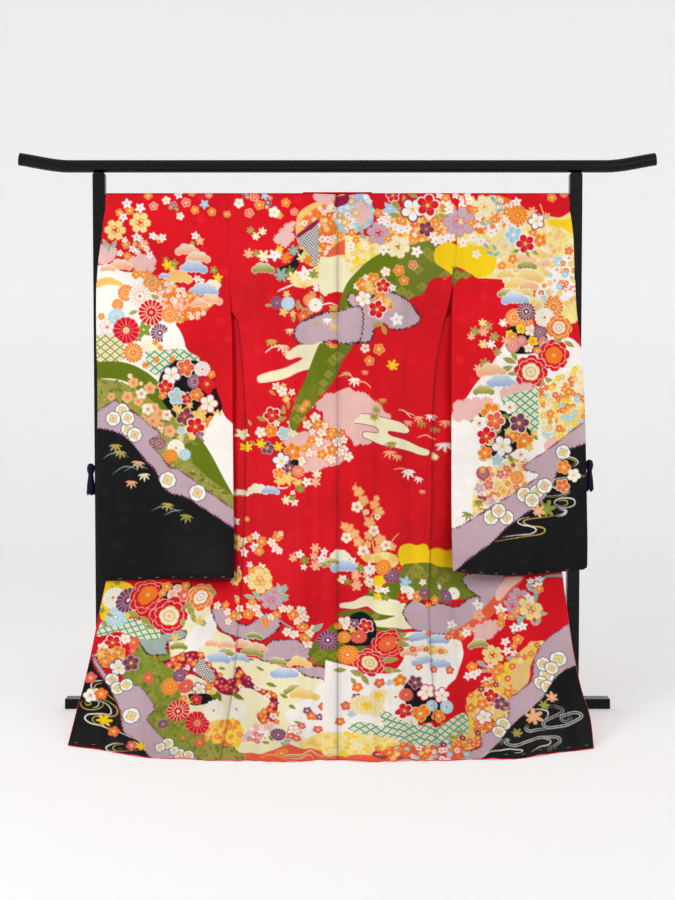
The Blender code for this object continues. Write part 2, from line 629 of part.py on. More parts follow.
def strand(form, root, centre, length):
    """One strand that hangs from a four-cornered root on the head's underside."""
    middle = sum((v.co for v in root), root[0].co * 0) / 4
    tops = []
    for v in root:
        tops.append(form.verts.new(v.co + (middle - v.co).normalized() * STRAND_GAP))
    for i in range(4):
        j = (i + 1) % 4
        form.faces.new((root[i], root[j], tops[j], tops[i]))
    last = tops
    for part in (0.45, 1.0):
        spread = 1 + (TASSEL_SPREAD - 1) * part**0.6
        ring = []
        for v in tops:
            out = v.co - middle
            base = middle + out * (1 - 0.25 * part)
            x = centre[0] + (base.x - centre[0]) * spread
            y = centre[1] + (base.y - centre[1]) * spread
            ring.append(form.verts.new((x, y, middle.z - length * part)))
        for i in range(4):
            j = (i + 1) % 4
            form.faces.new((last[i], last[j], ring[j], ring[i]))
        last = ring
    form.faces.new(last)


def build():
    for thing in list(bpy.data.objects):
        bpy.data.objects.remove(thing, do_unlink=True)
    for side in (-1, 1):
        back(side)
        front(side)
        okumi(side)
        sleeve(side, "near")
        sleeve(side, "far")
        tassel(side)
    collar()
    top_rail()
    posts()
    base_and_feet()
    hanging_bar()


build()
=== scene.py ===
"""Looks for a furisode hung on its iko: printed silk, red lining, basting threads, black lacquer
and silk tassels.

Metres, +Z up, in the frame of the part. The garment's back faces -Y. A side is -1 for left and +1 for right.
The print is painted by rule on flat silk, across and down in metres, and laid on the hung cloth.
"""

import json

import bpy
import numpy as np
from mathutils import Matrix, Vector

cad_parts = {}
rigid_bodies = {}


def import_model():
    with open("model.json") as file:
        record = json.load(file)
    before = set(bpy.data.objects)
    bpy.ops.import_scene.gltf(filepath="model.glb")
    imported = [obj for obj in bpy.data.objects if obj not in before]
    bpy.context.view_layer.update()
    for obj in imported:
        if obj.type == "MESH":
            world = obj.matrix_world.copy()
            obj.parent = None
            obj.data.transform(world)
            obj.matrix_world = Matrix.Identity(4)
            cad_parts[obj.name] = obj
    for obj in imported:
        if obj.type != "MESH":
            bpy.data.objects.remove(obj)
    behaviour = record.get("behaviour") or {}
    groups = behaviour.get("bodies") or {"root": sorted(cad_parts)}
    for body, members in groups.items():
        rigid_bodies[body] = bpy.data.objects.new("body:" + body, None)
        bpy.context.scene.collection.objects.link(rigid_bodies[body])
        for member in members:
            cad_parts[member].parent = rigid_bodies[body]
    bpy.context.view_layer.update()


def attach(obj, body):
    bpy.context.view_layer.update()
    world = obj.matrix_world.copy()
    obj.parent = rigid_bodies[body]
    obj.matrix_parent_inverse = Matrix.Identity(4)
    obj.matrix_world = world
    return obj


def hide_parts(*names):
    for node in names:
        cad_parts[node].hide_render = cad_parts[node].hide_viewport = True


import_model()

# The garment's form, as in the part's source
SEAM = 0.0005
ARMHOLE = 0.0008
SHOULDER_RADIUS = 0.0112  # of the cloth where it lies over the hanging bar
LEAVES_BAR = 0.0176  # down from the shoulder fold to where the cloth hangs free of the bar
LENGTH = 1.62  # down from the shoulder fold to the hem
COLLAR_RADIUS = 0.0135
BACK_NECK_DEPTH = 0.010  # how far the back neck is cut down from the shoulder fold
BACK_NECK_OUT = 0.095  # half the width of that cut
BACK_NECK_EVEN = 0.10  # down from the fold to the first line that runs level again
FRONT_WIDTH = 0.245
NECK_FRONT_WIDTH = 0.208
OKUMI_WIDTH = 0.155
OKUMI_TOP = 0.19
OKUMI_FULL = 0.85
COLLAR_WIDTH = 0.055
COLLAR_LIFT = 0.0012
SLEEVE_CORNER = 0.010
WRIST_OPENING = 0.23
REAR_OUT = 0.6318  # how far out the rear layer may lie beside the post
SLEEVE_ROOM = 0.017
SLEEVE_SWELL = 0.003
SLEEVE_MIDDLE = 0.44  # where across the layers stand off most
BAR_Z = 1.409

# The back's line down the centre seam and down the side, one row for each height. down is measured along
# the centre seam from the shoulder fold.
BACK = (
    ("down", "centre_y", "side_y", "z", "left_out", "right_out", "centre_x"),
    (0.0176, -0.0112, -0.0112, 1.4090, 0.3030, 0.3310, 0.0000),
    (0.067, -0.0170, -0.0118, 1.3600, 0.3014, 0.3290, 0.0000),
    (0.213, -0.0340, -0.0120, 1.2150, 0.2968, 0.3225, 0.0000),
    (0.328, -0.0467, -0.0120, 1.1000, 0.2905, 0.3010, 0.0000),
    (0.358, -0.0499, -0.0120, 1.0700, 0.2735, 0.2930, 0.0000),
    (0.499, -0.0650, -0.0155, 0.9300, 0.2580, 0.2670, 0.0000),
    (0.660, -0.0830, -0.0220, 0.7700, 0.2510, 0.2590, 0.0000),
    (0.833, -0.1130, -0.0420, 0.6000, 0.2513, 0.2575, 0.0000),
    (0.967, -0.1430, -0.0720, 0.4700, 0.2535, 0.2515, 0.0000),
    (1.071, -0.1780, -0.1100, 0.3700, 0.2565, 0.2465, 0.0000),
    (1.196, -0.2470, -0.1750, 0.2700, 0.2610, 0.2425, -0.0020),
    (1.320, -0.3340, -0.2500, 0.1800, 0.2645, 0.2435, -0.0090),
    (1.430, -0.4150, -0.3350, 0.1050, 0.2695, 0.2440, -0.0160),
    (1.508, -0.4750, -0.4150, 0.0550, 0.2745, 0.2420, -0.0165),
    (1.620, -0.5680, -0.5720, 0.0020, 0.2790, 0.2375, -0.0155),
)
# The front edge, and the handles that bend the front from the side seam to that edge. out is measured away
# from the centre. seam_out and seam_y lead from the back's side line to the front's.
FRONT = (
    ("down", "left_out", "right_out", "left_y", "right_y", "z",
     "near_out", "near_y", "far_out", "far_y", "seam_out", "seam_y"),
    (0.0176, 0.095, 0.095, 0.0112, 0.0112, 1.4090, -0.0693, 0.000, 0.0693, 0.000, 0.0000, 0.0224),
    (0.067, 0.104, 0.104, 0.0145, 0.0145, 1.3600, -0.066, 0.000, 0.066, 0.000, -0.0002, 0.0236),
    (0.213, 0.125, 0.125, 0.0300, 0.0300, 1.2150, -0.055, 0.004, 0.050, -0.010, -0.0004, 0.0215),
    (0.328, 0.150, 0.150, 0.0480, 0.0480, 1.1000, 0.065, 0.024, 0.065, 0.004, 0.0030, 0.0170),
    (0.358, 0.158, 0.158, 0.0520, 0.0520, 1.0700, 0.085, 0.024, 0.125, 0.010, 0.0015, 0.0017),
    (0.499, 0.205, 0.205, 0.0750, 0.0750, 0.9300, 0.100, 0.034, 0.155, 0.015, 0.0015, 0.0017),
    (0.660, 0.290, 0.290, 0.1050, 0.1050, 0.7750, 0.168, 0.032, 0.175, 0.020, 0.0015, 0.0017),
    (0.833, 0.360, 0.355, 0.1180, 0.1180, 0.6100, 0.155, 0.085, 0.135, 0.010, 0.0015, 0.0017),
    (0.967, 0.490, 0.485, 0.0720, 0.0720, 0.4800, 0.070, 0.070, 0.000, 0.000, 0.0015, 0.0016),
    (1.071, 0.625, 0.617, -0.0160, -0.0120, 0.3860, 0.042, 0.069, -0.130, 0.035, 0.0015, 0.0014),
    (1.130, 0.639, 0.6225, -0.0190, -0.0200, 0.3490, 0.075, 0.020, -0.150, 0.012, 0.0015, 0.0010),
    (1.196, 0.6470, 0.6250, -0.0700, -0.0700, 0.2850, 0.100, 0.010, -0.130, -0.010, 0.0014, 0.0005),
    (1.320, 0.6558, 0.6275, -0.1530, -0.1600, 0.1890, 0.110, 0.000, -0.140, -0.030, 0.0010, 0.0000),
    (1.430, 0.6625, 0.6330, -0.2500, -0.2620, 0.1080, 0.110, -0.010, -0.140, -0.040, 0.0008, 0.0000),
    (1.508, 0.6685, 0.6410, -0.3250, -0.3450, 0.0570, 0.110, -0.015, -0.140, -0.045, 0.0008, 0.0000),
    (1.620, 0.6700, 0.6320, -0.4290, -0.4570, 0.0020, 0.110, -0.012, -0.140, -0.080, 0.0008, 0.0000),
)
# Soft folds that run down the cloth: where each lies across, its half width, how far it stands out at the
# hem, and where it begins.
BACK_FOLDS = (
    ("across", "width", "rise", "begins"),
    (0.42, 0.40, -0.016, 0.60),
    (0.86, 0.10, -0.006, 0.40),
    (0.14, 0.10, 0.004, 0.30),
)
FRONT_FOLDS = (
    ("across", "width", "rise", "begins"),
    (0.22, 0.16, 0.010, 1.00),
    (0.52, 0.16, -0.009, 1.05),
    (0.80, 0.14, 0.007, 1.10),
)
# The neck stretch of the collar laid flat: x, and the length over the bar from its top, back being positive,
# for the sewn edge and the free edge.
COLLAR_NECK = (
    ("sewn_x", "sewn_over", "free_x", "free_over"),
    (0.0945, 0.0200, 0.0360, 0.0620),
    (0.0944, 0.0135, 0.0335, 0.0595),
    (0.0942, 0.0070, 0.0305, 0.0570),
    (0.0940, 0.0006, 0.0270, 0.0545),
    (0.0700, -0.0042, 0.018, 0.050),
    (0.0350, -0.0080, 0.009, 0.047),
    (0.0000, -0.0094, 0.000, 0.046),
)
# The sleeves' outlines and the lie of their front and rear layers at the inner and the outer edge
SLEEVE = (
    ("z", "left_inner", "right_inner", "left_outer", "right_outer",
     "front_inner", "front_outer", "rear_inner", "rear_outer"),
    (1.409, 0.3030, 0.3310, 0.6320, 0.6320, -0.0112, -0.0112, 0.0112, 0.0112),
    (1.378, 0.3020, 0.3296, 0.6325, 0.6325, -0.0115, -0.0176, 0.0113, 0.0110),
    (1.345, 0.3008, 0.3282, 0.6375, 0.6370, -0.0118, -0.0196, 0.0114, 0.0108),
    (1.290, 0.2991, 0.3259, 0.6437, 0.6430, -0.0120, -0.0213, 0.0106, 0.0010),
    (1.235, 0.2974, 0.3234, 0.6516, 0.6450, -0.0121, -0.0222, 0.0092, -0.0160),
    (1.180, 0.2952, 0.3190, 0.6560, 0.6465, -0.0128, -0.0232, 0.0010, -0.0170),
    (1.100, 0.2920, 0.3145, 0.6570, 0.6510, -0.0150, -0.0250, -0.0050, -0.0174),
    (1.020, 0.2892, 0.3137, 0.6571, 0.6617, -0.0180, -0.0262, -0.0085, -0.0178),
    (0.900, 0.2885, 0.3135, 0.6550, 0.6720, -0.0220, -0.0275, -0.0120, -0.0182),
    (0.720, 0.2876, 0.3135, 0.6558, 0.6788, -0.0300, -0.0298, -0.0200, -0.0190),
    (0.550, 0.2850, 0.3132, 0.6566, 0.6830, -0.0450, -0.0325, -0.0340, -0.0205),
    (0.450, 0.2825, 0.3129, 0.6530, 0.6848, -0.0750, -0.0340, -0.0630, -0.0215),
    (0.370, 0.2804, 0.3126, 0.6490, 0.6840, -0.1120, -0.0355, -0.0985, -0.0225),
)
# The sleeves' bottom seams from the inner to the outer edge
SLEEVE_BOTTOM = (
    ("across", "left_z", "right_z"),
    (0.0, 0.3755, 0.3930),
    (0.5, 0.3650, 0.3745),
    (1.0, 0.3580, 0.3890),
)


def columns(table):
    """The table's columns by name."""
    names, *rows = table
    return dict(zip(names, np.array(rows, float).T, strict=True))


def smooth(keys, values, where):
    """A smooth curve through the values, with no overshoot between them."""
    step = np.diff(keys)
    slope = np.diff(values) / step
    product = slope[:-1] * slope[1:]
    total = slope[:-1] + slope[1:]
    inner = np.where(product > 0, 2 * product / np.where(product > 0, total, 1), 0)
    tangent = np.concatenate([slope[:1], inner, slope[-1:]])
    where = np.clip(where, keys[0], keys[-1])
    i = np.clip(np.searchsorted(keys, where, side="right") - 1, 0, len(step) - 1)
    t = (where - keys[i]) / step[i]
    rise = values[i + 1] - values[i]
    bend = t * (1 - t) * step[i] * ((1 - t) * (tangent[i] - slope[i]) - t * (tangent[i + 1] - slope[i]))
    return values[i] + rise * t + bend


def read(table, key, where):
    """Every column of the table at the given keys."""
    found = columns(table)
    return {name: smooth(found[key], values, where) for name, values in found.items()}


def soft_step(t):
    """0 to 1 with level ends."""
    t = np.clip(t, 0, 1)
    return t * t * (3 - 2 * t)


def fold_height(table, across, down):
    """How far the cloth's soft folds stand out at each point."""
    height = np.zeros(np.broadcast(across, down).shape)
    for middle, half, rise, begins in table[1:]:
        bell = np.clip(1 - ((across - middle) / half) ** 2, 0, 1) ** 2
        height = height + rise * bell * soft_step((down - begins) / (LENGTH - begins))
    return height


def over_bar(x, over, radius):
    """A point on a sheet that lies over the hanging bar and hangs straight down on both sides of it."""
    quarter = radius * np.pi / 2
    angle = np.clip(over, -quarter, quarter) / radius
    y = radius * np.sin(angle)
    z = BAR_Z + radius * np.cos(angle) - np.clip(np.abs(over) - quarter, 0, None)
    return np.stack(np.broadcast_arrays(x, y, z), -1)


def side_name(side):
    return "left" if side < 0 else "right"


def back_point(side, across, down):
    """The back, across from the centre seam at 0 to the side at 1."""
    row = read(BACK, "down", down)
    side_x = side * row[side_name(side) + "_out"]
    centre_x = row["centre_x"] + side * SEAM / 2
    x = centre_x + (side_x - centre_x) * across
    lean = across**1.8
    y = row["centre_y"] + (row["side_y"] - row["centre_y"]) * lean
    z = row["z"] + 0 * across
    hung = np.stack([x, y + fold_height(BACK_FOLDS, across, down), z], -1)
    shoulder = over_bar(x, -down, SHOULDER_RADIUS)
    return np.where((down < LEAVES_BAR)[..., None], shoulder, hung)


def front_point(side, across, down):
    """The front and okumi in one, across from the side at 0 to the front edge at 1."""
    row = read(FRONT, "down", down)
    name = side_name(side)
    seam = back_point(side, np.ones_like(down), down)
    start_out = side * seam[..., 0] + row["seam_out"]
    start_y = seam[..., 1] + row["seam_y"]
    end_out = row[name + "_out"]
    end_y = row[name + "_y"]
    out = bend(start_out, start_out + row["near_out"], end_out + row["far_out"], end_out, across)
    y = bend(start_y, start_y + row["near_y"], end_y + row["far_y"], end_y, across)
    z = seam[..., 2] + (row["z"] - seam[..., 2]) * across
    hung = np.stack([side * out, y + fold_height(FRONT_FOLDS, across, down), z], -1)
    straight_out = start_out + (end_out - start_out) * across
    shoulder = over_bar(side * straight_out, down, SHOULDER_RADIUS)
    return np.where((down < LEAVES_BAR)[..., None], shoulder, hung)


def bend(start, near, far, end, t):
    """A cubic curve with two handles."""
    s = 1 - t
    return s**3 * start + 3 * s * s * t * near + 3 * s * t * t * far + t**3 * end


def front_share(down):
    """The part of the front sheet that lies between the side and the okumi seam."""
    front = NECK_FRONT_WIDTH + (FRONT_WIDTH - NECK_FRONT_WIDTH) * np.clip(down / OKUMI_TOP, 0, 1)
    okumi = OKUMI_WIDTH * np.clip((down - OKUMI_TOP) / (OKUMI_FULL - OKUMI_TOP), 0, 1)
    return front / (front + okumi)


def front_width(side, down):
    """The hung length of the front sheet across, from the side to the front edge."""
    across = np.linspace(0, 1, 33)
    line = front_point(side, across, np.asarray(down)[..., None] + 0 * across)
    return np.linalg.norm(np.diff(line, axis=-2), axis=-1).sum(-1)


def collar_front(side, down):
    """The collar's sewn and free edges down a front."""
    end = front_point(side, np.ones_like(down), down)
    before = front_point(side, np.full_like(down, 0.97), down)
    way = end - before
    way[:, 2] = 0
    way /= np.linalg.norm(way, axis=1)[:, None]
    sewn = end + way * 1.5 * SEAM
    free = end + way * COLLAR_WIDTH
    lift = COLLAR_LIFT * np.clip(1 - down / 0.25, 0, 1)
    sewn[:, 1] += lift
    free[:, 1] += lift
    return sewn, free


def body_side_out(side, z):
    """How far out the back's side edge is at each height."""
    back = columns(BACK)
    return smooth(back["z"][::-1], back[side_name(side) + "_out"][::-1], z)


def sleeve_layers(side, across, share):
    """Points of the front and the rear layer. share runs from the bar at 0 to the bottom seam at 1."""
    name = side_name(side)
    bottom = read(SLEEVE_BOTTOM, "across", across)[name + "_z"]
    z = BAR_Z - (BAR_Z - bottom) * share
    row = read(SLEEVE[:1] + SLEEVE[:0:-1], "z", z)
    inner = np.maximum(row[name + "_inner"], body_side_out(side, z) + ARMHOLE)
    outer = row[name + "_outer"]
    above = np.clip(z - bottom, 0, SLEEVE_CORNER)
    outer = outer - SLEEVE_CORNER + np.sqrt(SLEEVE_CORNER**2 - (SLEEVE_CORNER - above) ** 2)
    out = inner + (outer - inner) * across
    close = soft_step((z - (BAR_Z - WRIST_OPENING + 0.012)) / 0.02)
    rear_outer = outer + (np.minimum(outer, REAR_OUT) - outer) * close
    rear_out = inner + (rear_outer - inner) * across
    lie = soft_step(across * 1.6)
    room = np.clip(1 - ((across - SLEEVE_MIDDLE) / SLEEVE_MIDDLE) ** 2, 0, 1) ** 1.3
    room = room * soft_step((z - bottom) / 0.16)
    room = room * soft_step((BAR_Z - z) / 0.09)
    front_y = row["front_inner"] + (row["front_outer"] - row["front_inner"]) * lie - SLEEVE_SWELL * room
    rear_y = row["rear_inner"] + (row["rear_outer"] - row["rear_inner"]) * lie + SLEEVE_ROOM * room
    front = np.stack([side * out, front_y, z], -1)
    rear = np.stack([side * rear_out, rear_y, z], -1)
    return front, rear


# Cloth made from fine grids
FACE = 0.0006  # from the middle of the wall to the printed face, and to the lining
HEM_ROLL = 0.0026  # how far the rolled lining stands out at the hem
EDGE_ROLL = 0.0012  # the same at the front edge and round the collar
COLLAR_END_ROLL = 0.0010
SLEEVE_ROLL = 0.0009  # the same round the edges of each sleeve layer
CLOSED_ROLL = 0.0026  # and where the sleeve's outer edge is closed from one layer to the other
COLLAR_FACE = 0.0010  # from the middle of the doubled collar to either face
COLLAR_START = 0.0501  # down the front from the fold
COLLAR_END = OKUMI_FULL - 0.0179
WRIST_SHARE = 0.222  # of the sleeve's drop, where its outer edge begins to be closed
LINING_ENDS = 0.985  # of the sleeve's drop, where its layers draw together above the bottom seam
SEWN_APART = 0.00105  # from the middle of both layers to either one where they are sewn
SIDE_SEAM_TOP = 0.36  # down from the fold, where back and front begin to be sewn together
SEAM_SINK = 0.0008  # how far the cloth turns in at the side seam
CENTRE_SINK = 0.0009  # and how far it sinks at the centre seam, and over what width
CENTRE_SINK_WIDTH = 0.0045
UNDERARM_SLACK = 0.009  # how far the front stands out under the arm
LOW_FRONT = 1.0  # down from the fold to where the front comes into sight
OKUMI_START = 0.205  # down from the fold to the overlap strip's first line
BACK_SPAN = 0.28  # the sheets' sizes across, from which the grids take their number of cells
FRONT_SPAN = 0.23
SLEEVE_SPAN = 0.36
SLEEVE_DROP = 1.035
BACK_CELL = (0.0025, 0.0030)  # across and down
FRONT_CELL = (0.0026, 0.0030)
HIDDEN_CELL = (0.0052, 0.0056)
LINING_CELL = (0.0110, 0.0130)
COLLAR_CELL = (0.0035, 0.0060)
STITCH = 0.011  # the length of a basting stitch that shows
BODY_PITCH = 0.048  # from one basting stitch to the next
OKUMI_PITCH = 0.044
SLEEVE_PITCH = 0.050
THREAD = 0.00030  # half the basting thread's thickness
HEM_BASTING = (1.602, 1.608, 1.614)  # down from the fold. The stitches follow the middle one.
SLEEVE_CELL = (0.0025, 0.0028)
BACK_CREASES = (
    ("x", "top", "bottom", "half", "depth"),
    (-0.150, 0.05, 1.50, 0.034, -0.0048),
    (-0.215, 0.12, 0.90, 0.026, 0.0026),
    (-0.098, 0.75, 1.62, 0.030, 0.0051),
    (-0.190, 0.95, 1.62, 0.022, -0.0048),
    (-0.245, 1.10, 1.62, 0.020, 0.0028),
    (-0.045, 0.95, 1.62, 0.026, -0.0048),
    (-0.075, 0.03, 0.42, 0.018, -0.0038),
    (-0.112, 0.03, 0.36, 0.017, 0.0032),
    (0.055, 0.60, 1.62, 0.030, 0.0048),
    (0.110, 0.10, 1.62, 0.026, -0.0054),
    (0.168, 0.16, 1.00, 0.026, 0.0045),
    (0.150, 0.90, 1.62, 0.022, 0.0054),
    (0.205, 0.70, 1.62, 0.024, -0.0048),
    (0.290, 0.00, 0.45, 0.026, -0.0024),
)
FRONT_CREASES = (
    ("x", "top", "bottom", "half", "depth"),
    (0.330, 1.00, 1.62, 0.026, -0.0036),
    (0.395, 1.05, 1.62, 0.026, 0.0040),
    (0.455, 1.05, 1.62, 0.028, -0.0036),
    (0.520, 1.05, 1.62, 0.026, 0.0036),
    (0.590, 1.10, 1.62, 0.026, -0.0030),
)
SLEEVE_CREASES = (
    ("x", "top", "bottom", "half", "depth"),
    (0.350, 0.05, 1.00, 0.030, -0.0012),
    (0.420, 0.02, 0.80, 0.030, 0.0014),
    (0.480, 0.15, 1.02, 0.036, -0.0014),
    (0.560, 0.00, 0.90, 0.040, 0.0014),
    (0.610, 0.20, 1.02, 0.020, -0.0012),
)
SLEEVE_TUCKS = ((0.705, 0.0010), (0.795, -0.0010), (0.865, 0.0009), (0.930, -0.0008), (0.275, 0.0007))


def creases(table, x, down):
    """Soft troughs and ridges that run down the cloth."""
    height = np.zeros(np.broadcast(x, down).shape)
    for line, top, bottom, half, depth in table[1:]:
        wander = line + 0.006 * np.sin(down * 5.3 + line * 40)
        bell = np.clip(1 - ((x - wander) / half) ** 2, 0, 1) ** 2
        ends = soft_step((down - top) / 0.18) * (1 - soft_step((down - bottom + 0.02) / 0.02) * 0.3)
        height = height + depth * bell * ends
    return height


def unit(ways):
    """The same directions, each one long."""
    return ways / np.linalg.norm(ways, axis=-1, keepdims=True)


def placed(name, data):
    """An object of the scene."""
    thing = bpy.data.objects.new(name, data)
    bpy.context.scene.collection.objects.link(thing)
    return thing


def facing(points, side):
    """Each point's direction out of the cloth's printed face."""
    along = np.gradient(points, axis=1)
    fall = np.gradient(points, axis=0)
    out = np.cross(fall, along) * side
    return out / np.maximum(np.linalg.norm(out, axis=-1, keepdims=True), 1e-12)


class Cloth:
    """One piece of sewn cloth, gathered grid by grid: the printed face, the lining and the rolled edges."""

    def __init__(self):
        self.points = []
        self.faces = []
        self.flat = []
        self.colour = []
        self.slots = []
        self.count = 0

    def add(self, points, flat, out, silk=None, slot=0):
        """A grid of points with its place on the flat silk. out is the way that it faces, and silk gives
        the print."""
        rows, cols = points.shape[:2]
        index = np.arange(rows * cols).reshape(rows, cols) + self.count
        quad = np.stack([index[:-1, :-1], index[:-1, 1:], index[1:, 1:], index[1:, :-1]], -1)
        corner = np.stack([flat[:-1, :-1], flat[:-1, 1:], flat[1:, 1:], flat[1:, :-1]], 2)
        middle = corner.mean(axis=2, keepdims=True)
        if silk is None:
            shade = np.ones((*corner.shape[:3], 4), np.float32)
        else:
            shade = silk.look(middle + (corner - middle) * 0.55)
        across = points[:-1, 1:] - points[1:, :-1]
        down = points[1:, 1:] - points[:-1, :-1]
        if (np.cross(down, across) * (out if np.ndim(out) == 1 else out[:-1, :-1])).sum() < 0:
            quad = quad[..., ::-1]
            corner = corner[:, :, ::-1]
            shade = shade[:, :, ::-1]
        self.points.append(points.reshape(-1, 3))
        self.faces.append(quad.reshape(-1, 4))
        self.flat.append(corner.reshape(-1, 2))
        self.colour.append(shade.reshape(-1, 4))
        self.slots.append(np.full(quad.shape[0] * quad.shape[1], slot))
        self.count += rows * cols

    def finish(self, name, materials):
        """The mesh object."""
        points = np.concatenate(self.points).astype(np.float32)
        faces = np.concatenate(self.faces).astype(np.int32)
        mesh = bpy.data.meshes.new(name)
        mesh.vertices.add(len(points))
        mesh.vertices.foreach_set("co", points.ravel())
        mesh.loops.add(faces.size)
        mesh.loops.foreach_set("vertex_index", faces.ravel())
        mesh.polygons.add(len(faces))
        mesh.polygons.foreach_set("loop_start", np.arange(0, faces.size, 4, dtype=np.int32))
        mesh.polygons.foreach_set("material_index", np.concatenate(self.slots).astype(np.int32))
        mesh.update(calc_edges=True)
        layer = mesh.uv_layers.new(name="flat")
        layer.data.foreach_set("uv", np.concatenate(self.flat).astype(np.float32).ravel())
        shade = mesh.color_attributes.new("print", "BYTE_COLOR", "CORNER")
        shade.data.foreach_set("color_srgb", np.concatenate(self.colour).astype(np.float32).ravel())
        mesh.shade_smooth()
        for look in materials:
            mesh.materials.append(look)
        return placed(name, mesh)


def roll(cloth, outer, inner, away, reach, flat, slot=1, silk=None, steps=4):
    """A half round edge from the printed face to the lining, that stands out by reach."""
    middle = (outer + inner) / 2
    half = (outer - inner) / 2
    rows = []
    for t in np.linspace(0, np.pi, steps + 1):
        rows.append(middle + half * np.cos(t) + away * reach * np.sin(t))
    flats = np.repeat(flat[None], steps + 1, axis=0)
    facing_out = np.stack([away + (outer - inner) * 0 for _ in rows]) if np.ndim(away) > 1 else away
    cloth.add(np.stack(rows), flats, facing_out, silk, slot)


def hem(cloth, points, out, flat):
    """The lining rolled out below the cloth's last row of points."""
    fall = unit(points[-1] - points[-3])
    roll(cloth, points[-1] + out[-1] * FACE, points[-1] - out[-1] * FACE, fall, HEM_ROLL, flat[-1])


def spread(low, high, cell):
    """Even steps from low to high, none longer than cell."""
    return np.linspace(low, high, max(int(np.ceil(abs(high - low) / cell)), 2) + 1)


def back_sheet(side, across, down):
    """The back's middle surface with its creases, and its place on the flat silk."""
    neck_across = BACK_NECK_OUT / read(BACK, "down", np.array([0.0]))[side_name(side) + "_out"][0]
    neck = BACK_NECK_DEPTH * (1 - np.clip(across / neck_across, 0, 1) ** 2)
    drop = np.where(down < BACK_NECK_EVEN, neck + down * (BACK_NECK_EVEN - neck) / BACK_NECK_EVEN, down)
    points = back_point(side, across, drop)
    flat = np.stack([points[..., 0], drop], -1)
    lift = creases(BACK_CREASES, points[..., 0], drop) * soft_step((drop - 0.03) / 0.08)
    points = points + facing(points, side) * lift[..., None]
    meet = np.clip(across * 80 - 79, 0, 1) * (drop < 0.23) * ARMHOLE - np.clip(1 - across * 80, 0, 1) * SEAM
    points[..., 0] += side * 0.6 * meet
    return points, flat


def front_sheet(side, across, down, cut):
    """The front and okumi in one. cut stops it short of the okumi seam."""
    seam = back_point(side, np.ones(len(down)), down)
    width = front_width(side, down)
    share = front_share(down)
    low, high = (0 * share, share) if cut == "front" else (share, 0 * share + 1)
    whole = low[:, None] + (high - low)[:, None] * across
    drop = down[:, None] + 0 * whole
    points = front_point(side, whole, drop)
    place = side * seam[:, 0:1] + whole * width[:, None]
    flat = np.stack([side * place, drop], -1)
    lift = creases(FRONT_CREASES, place, drop) * soft_step(whole * 12)
    slack = soft_step((drop - 0.213) / 0.04) * (1 - soft_step((drop - 0.318) / 0.035))
    slack = slack * (1 - soft_step(whole * 5))
    points[..., 0] += side * UNDERARM_SLACK * slack
    return points + facing(points, side) * lift[..., None], flat


def body(side, silk, looks):
    """Back and front in one length, with its lining and its rolled hem."""
    cloth = Cloth()
    a, d = np.meshgrid(spread(0, 1, BACK_CELL[0] / BACK_SPAN), spread(0, LENGTH, BACK_CELL[1]))
    middle, flat = back_sheet(side, a, d)
    out = facing(middle, side)
    seam = CENTRE_SINK * (1 - soft_step(a * BACK_SPAN / CENTRE_SINK_WIDTH))
    cloth.add(middle + out * (FACE - seam)[..., None], flat, out, silk)
    hem(cloth, middle, out, flat)
    for top, bottom, cell in ((0.0, LOW_FRONT, HIDDEN_CELL), (LOW_FRONT, LENGTH, FRONT_CELL)):
        down = spread(top, bottom, cell[1])
        points, flat = front_sheet(side, spread(0, 1, cell[0] / FRONT_SPAN), down, "front")
        out = facing(points, side)
        cloth.add(points + out * FACE, flat, out, silk)
        back, place = (both[:, 1] for both in back_sheet(side, *np.meshgrid((0.99, 1.0), down)))
        turn = np.stack([back, (back + points[:, 0]) / 2 + (0, SEAM_SINK, 0), points[:, 0]], 1)
        closed = down > SIDE_SEAM_TOP
        cloth.add(turn[closed], np.stack([place] * 3, 1)[closed], np.array([0, -1, 0]), silk)
    hem(cloth, points, out, flat)
    down = spread(0, LENGTH, LINING_CELL[1])
    middle, flat = back_sheet(side, *np.meshgrid(spread(0, 1, LINING_CELL[0] / BACK_SPAN), down))
    out = facing(middle, side)
    cloth.add(middle - out * FACE, flat, -out, None, 1)
    points, flat = front_sheet(side, spread(0, 1, LINING_CELL[0] / FRONT_SPAN), down, "front")
    out = facing(points, side)
    cloth.add(points - out * FACE, flat, -out, None, 1)
    return cloth.finish("silk_body_" + side_name(side), looks)


def okumi(side, silk, looks):
    """The overlap strip with its lining, its rolled hem and its front edge."""
    cloth = Cloth()
    for top, bottom, cell in ((OKUMI_START, LOW_FRONT, HIDDEN_CELL), (LOW_FRONT, LENGTH, FRONT_CELL)):
        down = spread(top, bottom, cell[1])
        points, flat = front_sheet(side, spread(0, 1, cell[0] / OKUMI_WIDTH), down, "okumi")
        out = facing(points, side)
        cloth.add(points + out * FACE, flat, out, silk)
        away = unit(points[:, -1] - points[:, -2])
        push = out[:, -1] * FACE
        roll(cloth, points[:, -1] + push, points[:, -1] - push, away, EDGE_ROLL, flat[:, -1])
    hem(cloth, points, out, flat)
    down = spread(OKUMI_START, LENGTH, LINING_CELL[1])
    points, flat = front_sheet(side, spread(0, 1, LINING_CELL[0] / OKUMI_WIDTH), down, "okumi")
    out = facing(points, side)
    cloth.add(points - out * FACE, flat, -out, None, 1)
    return cloth.finish("silk_okumi_" + side_name(side), looks)


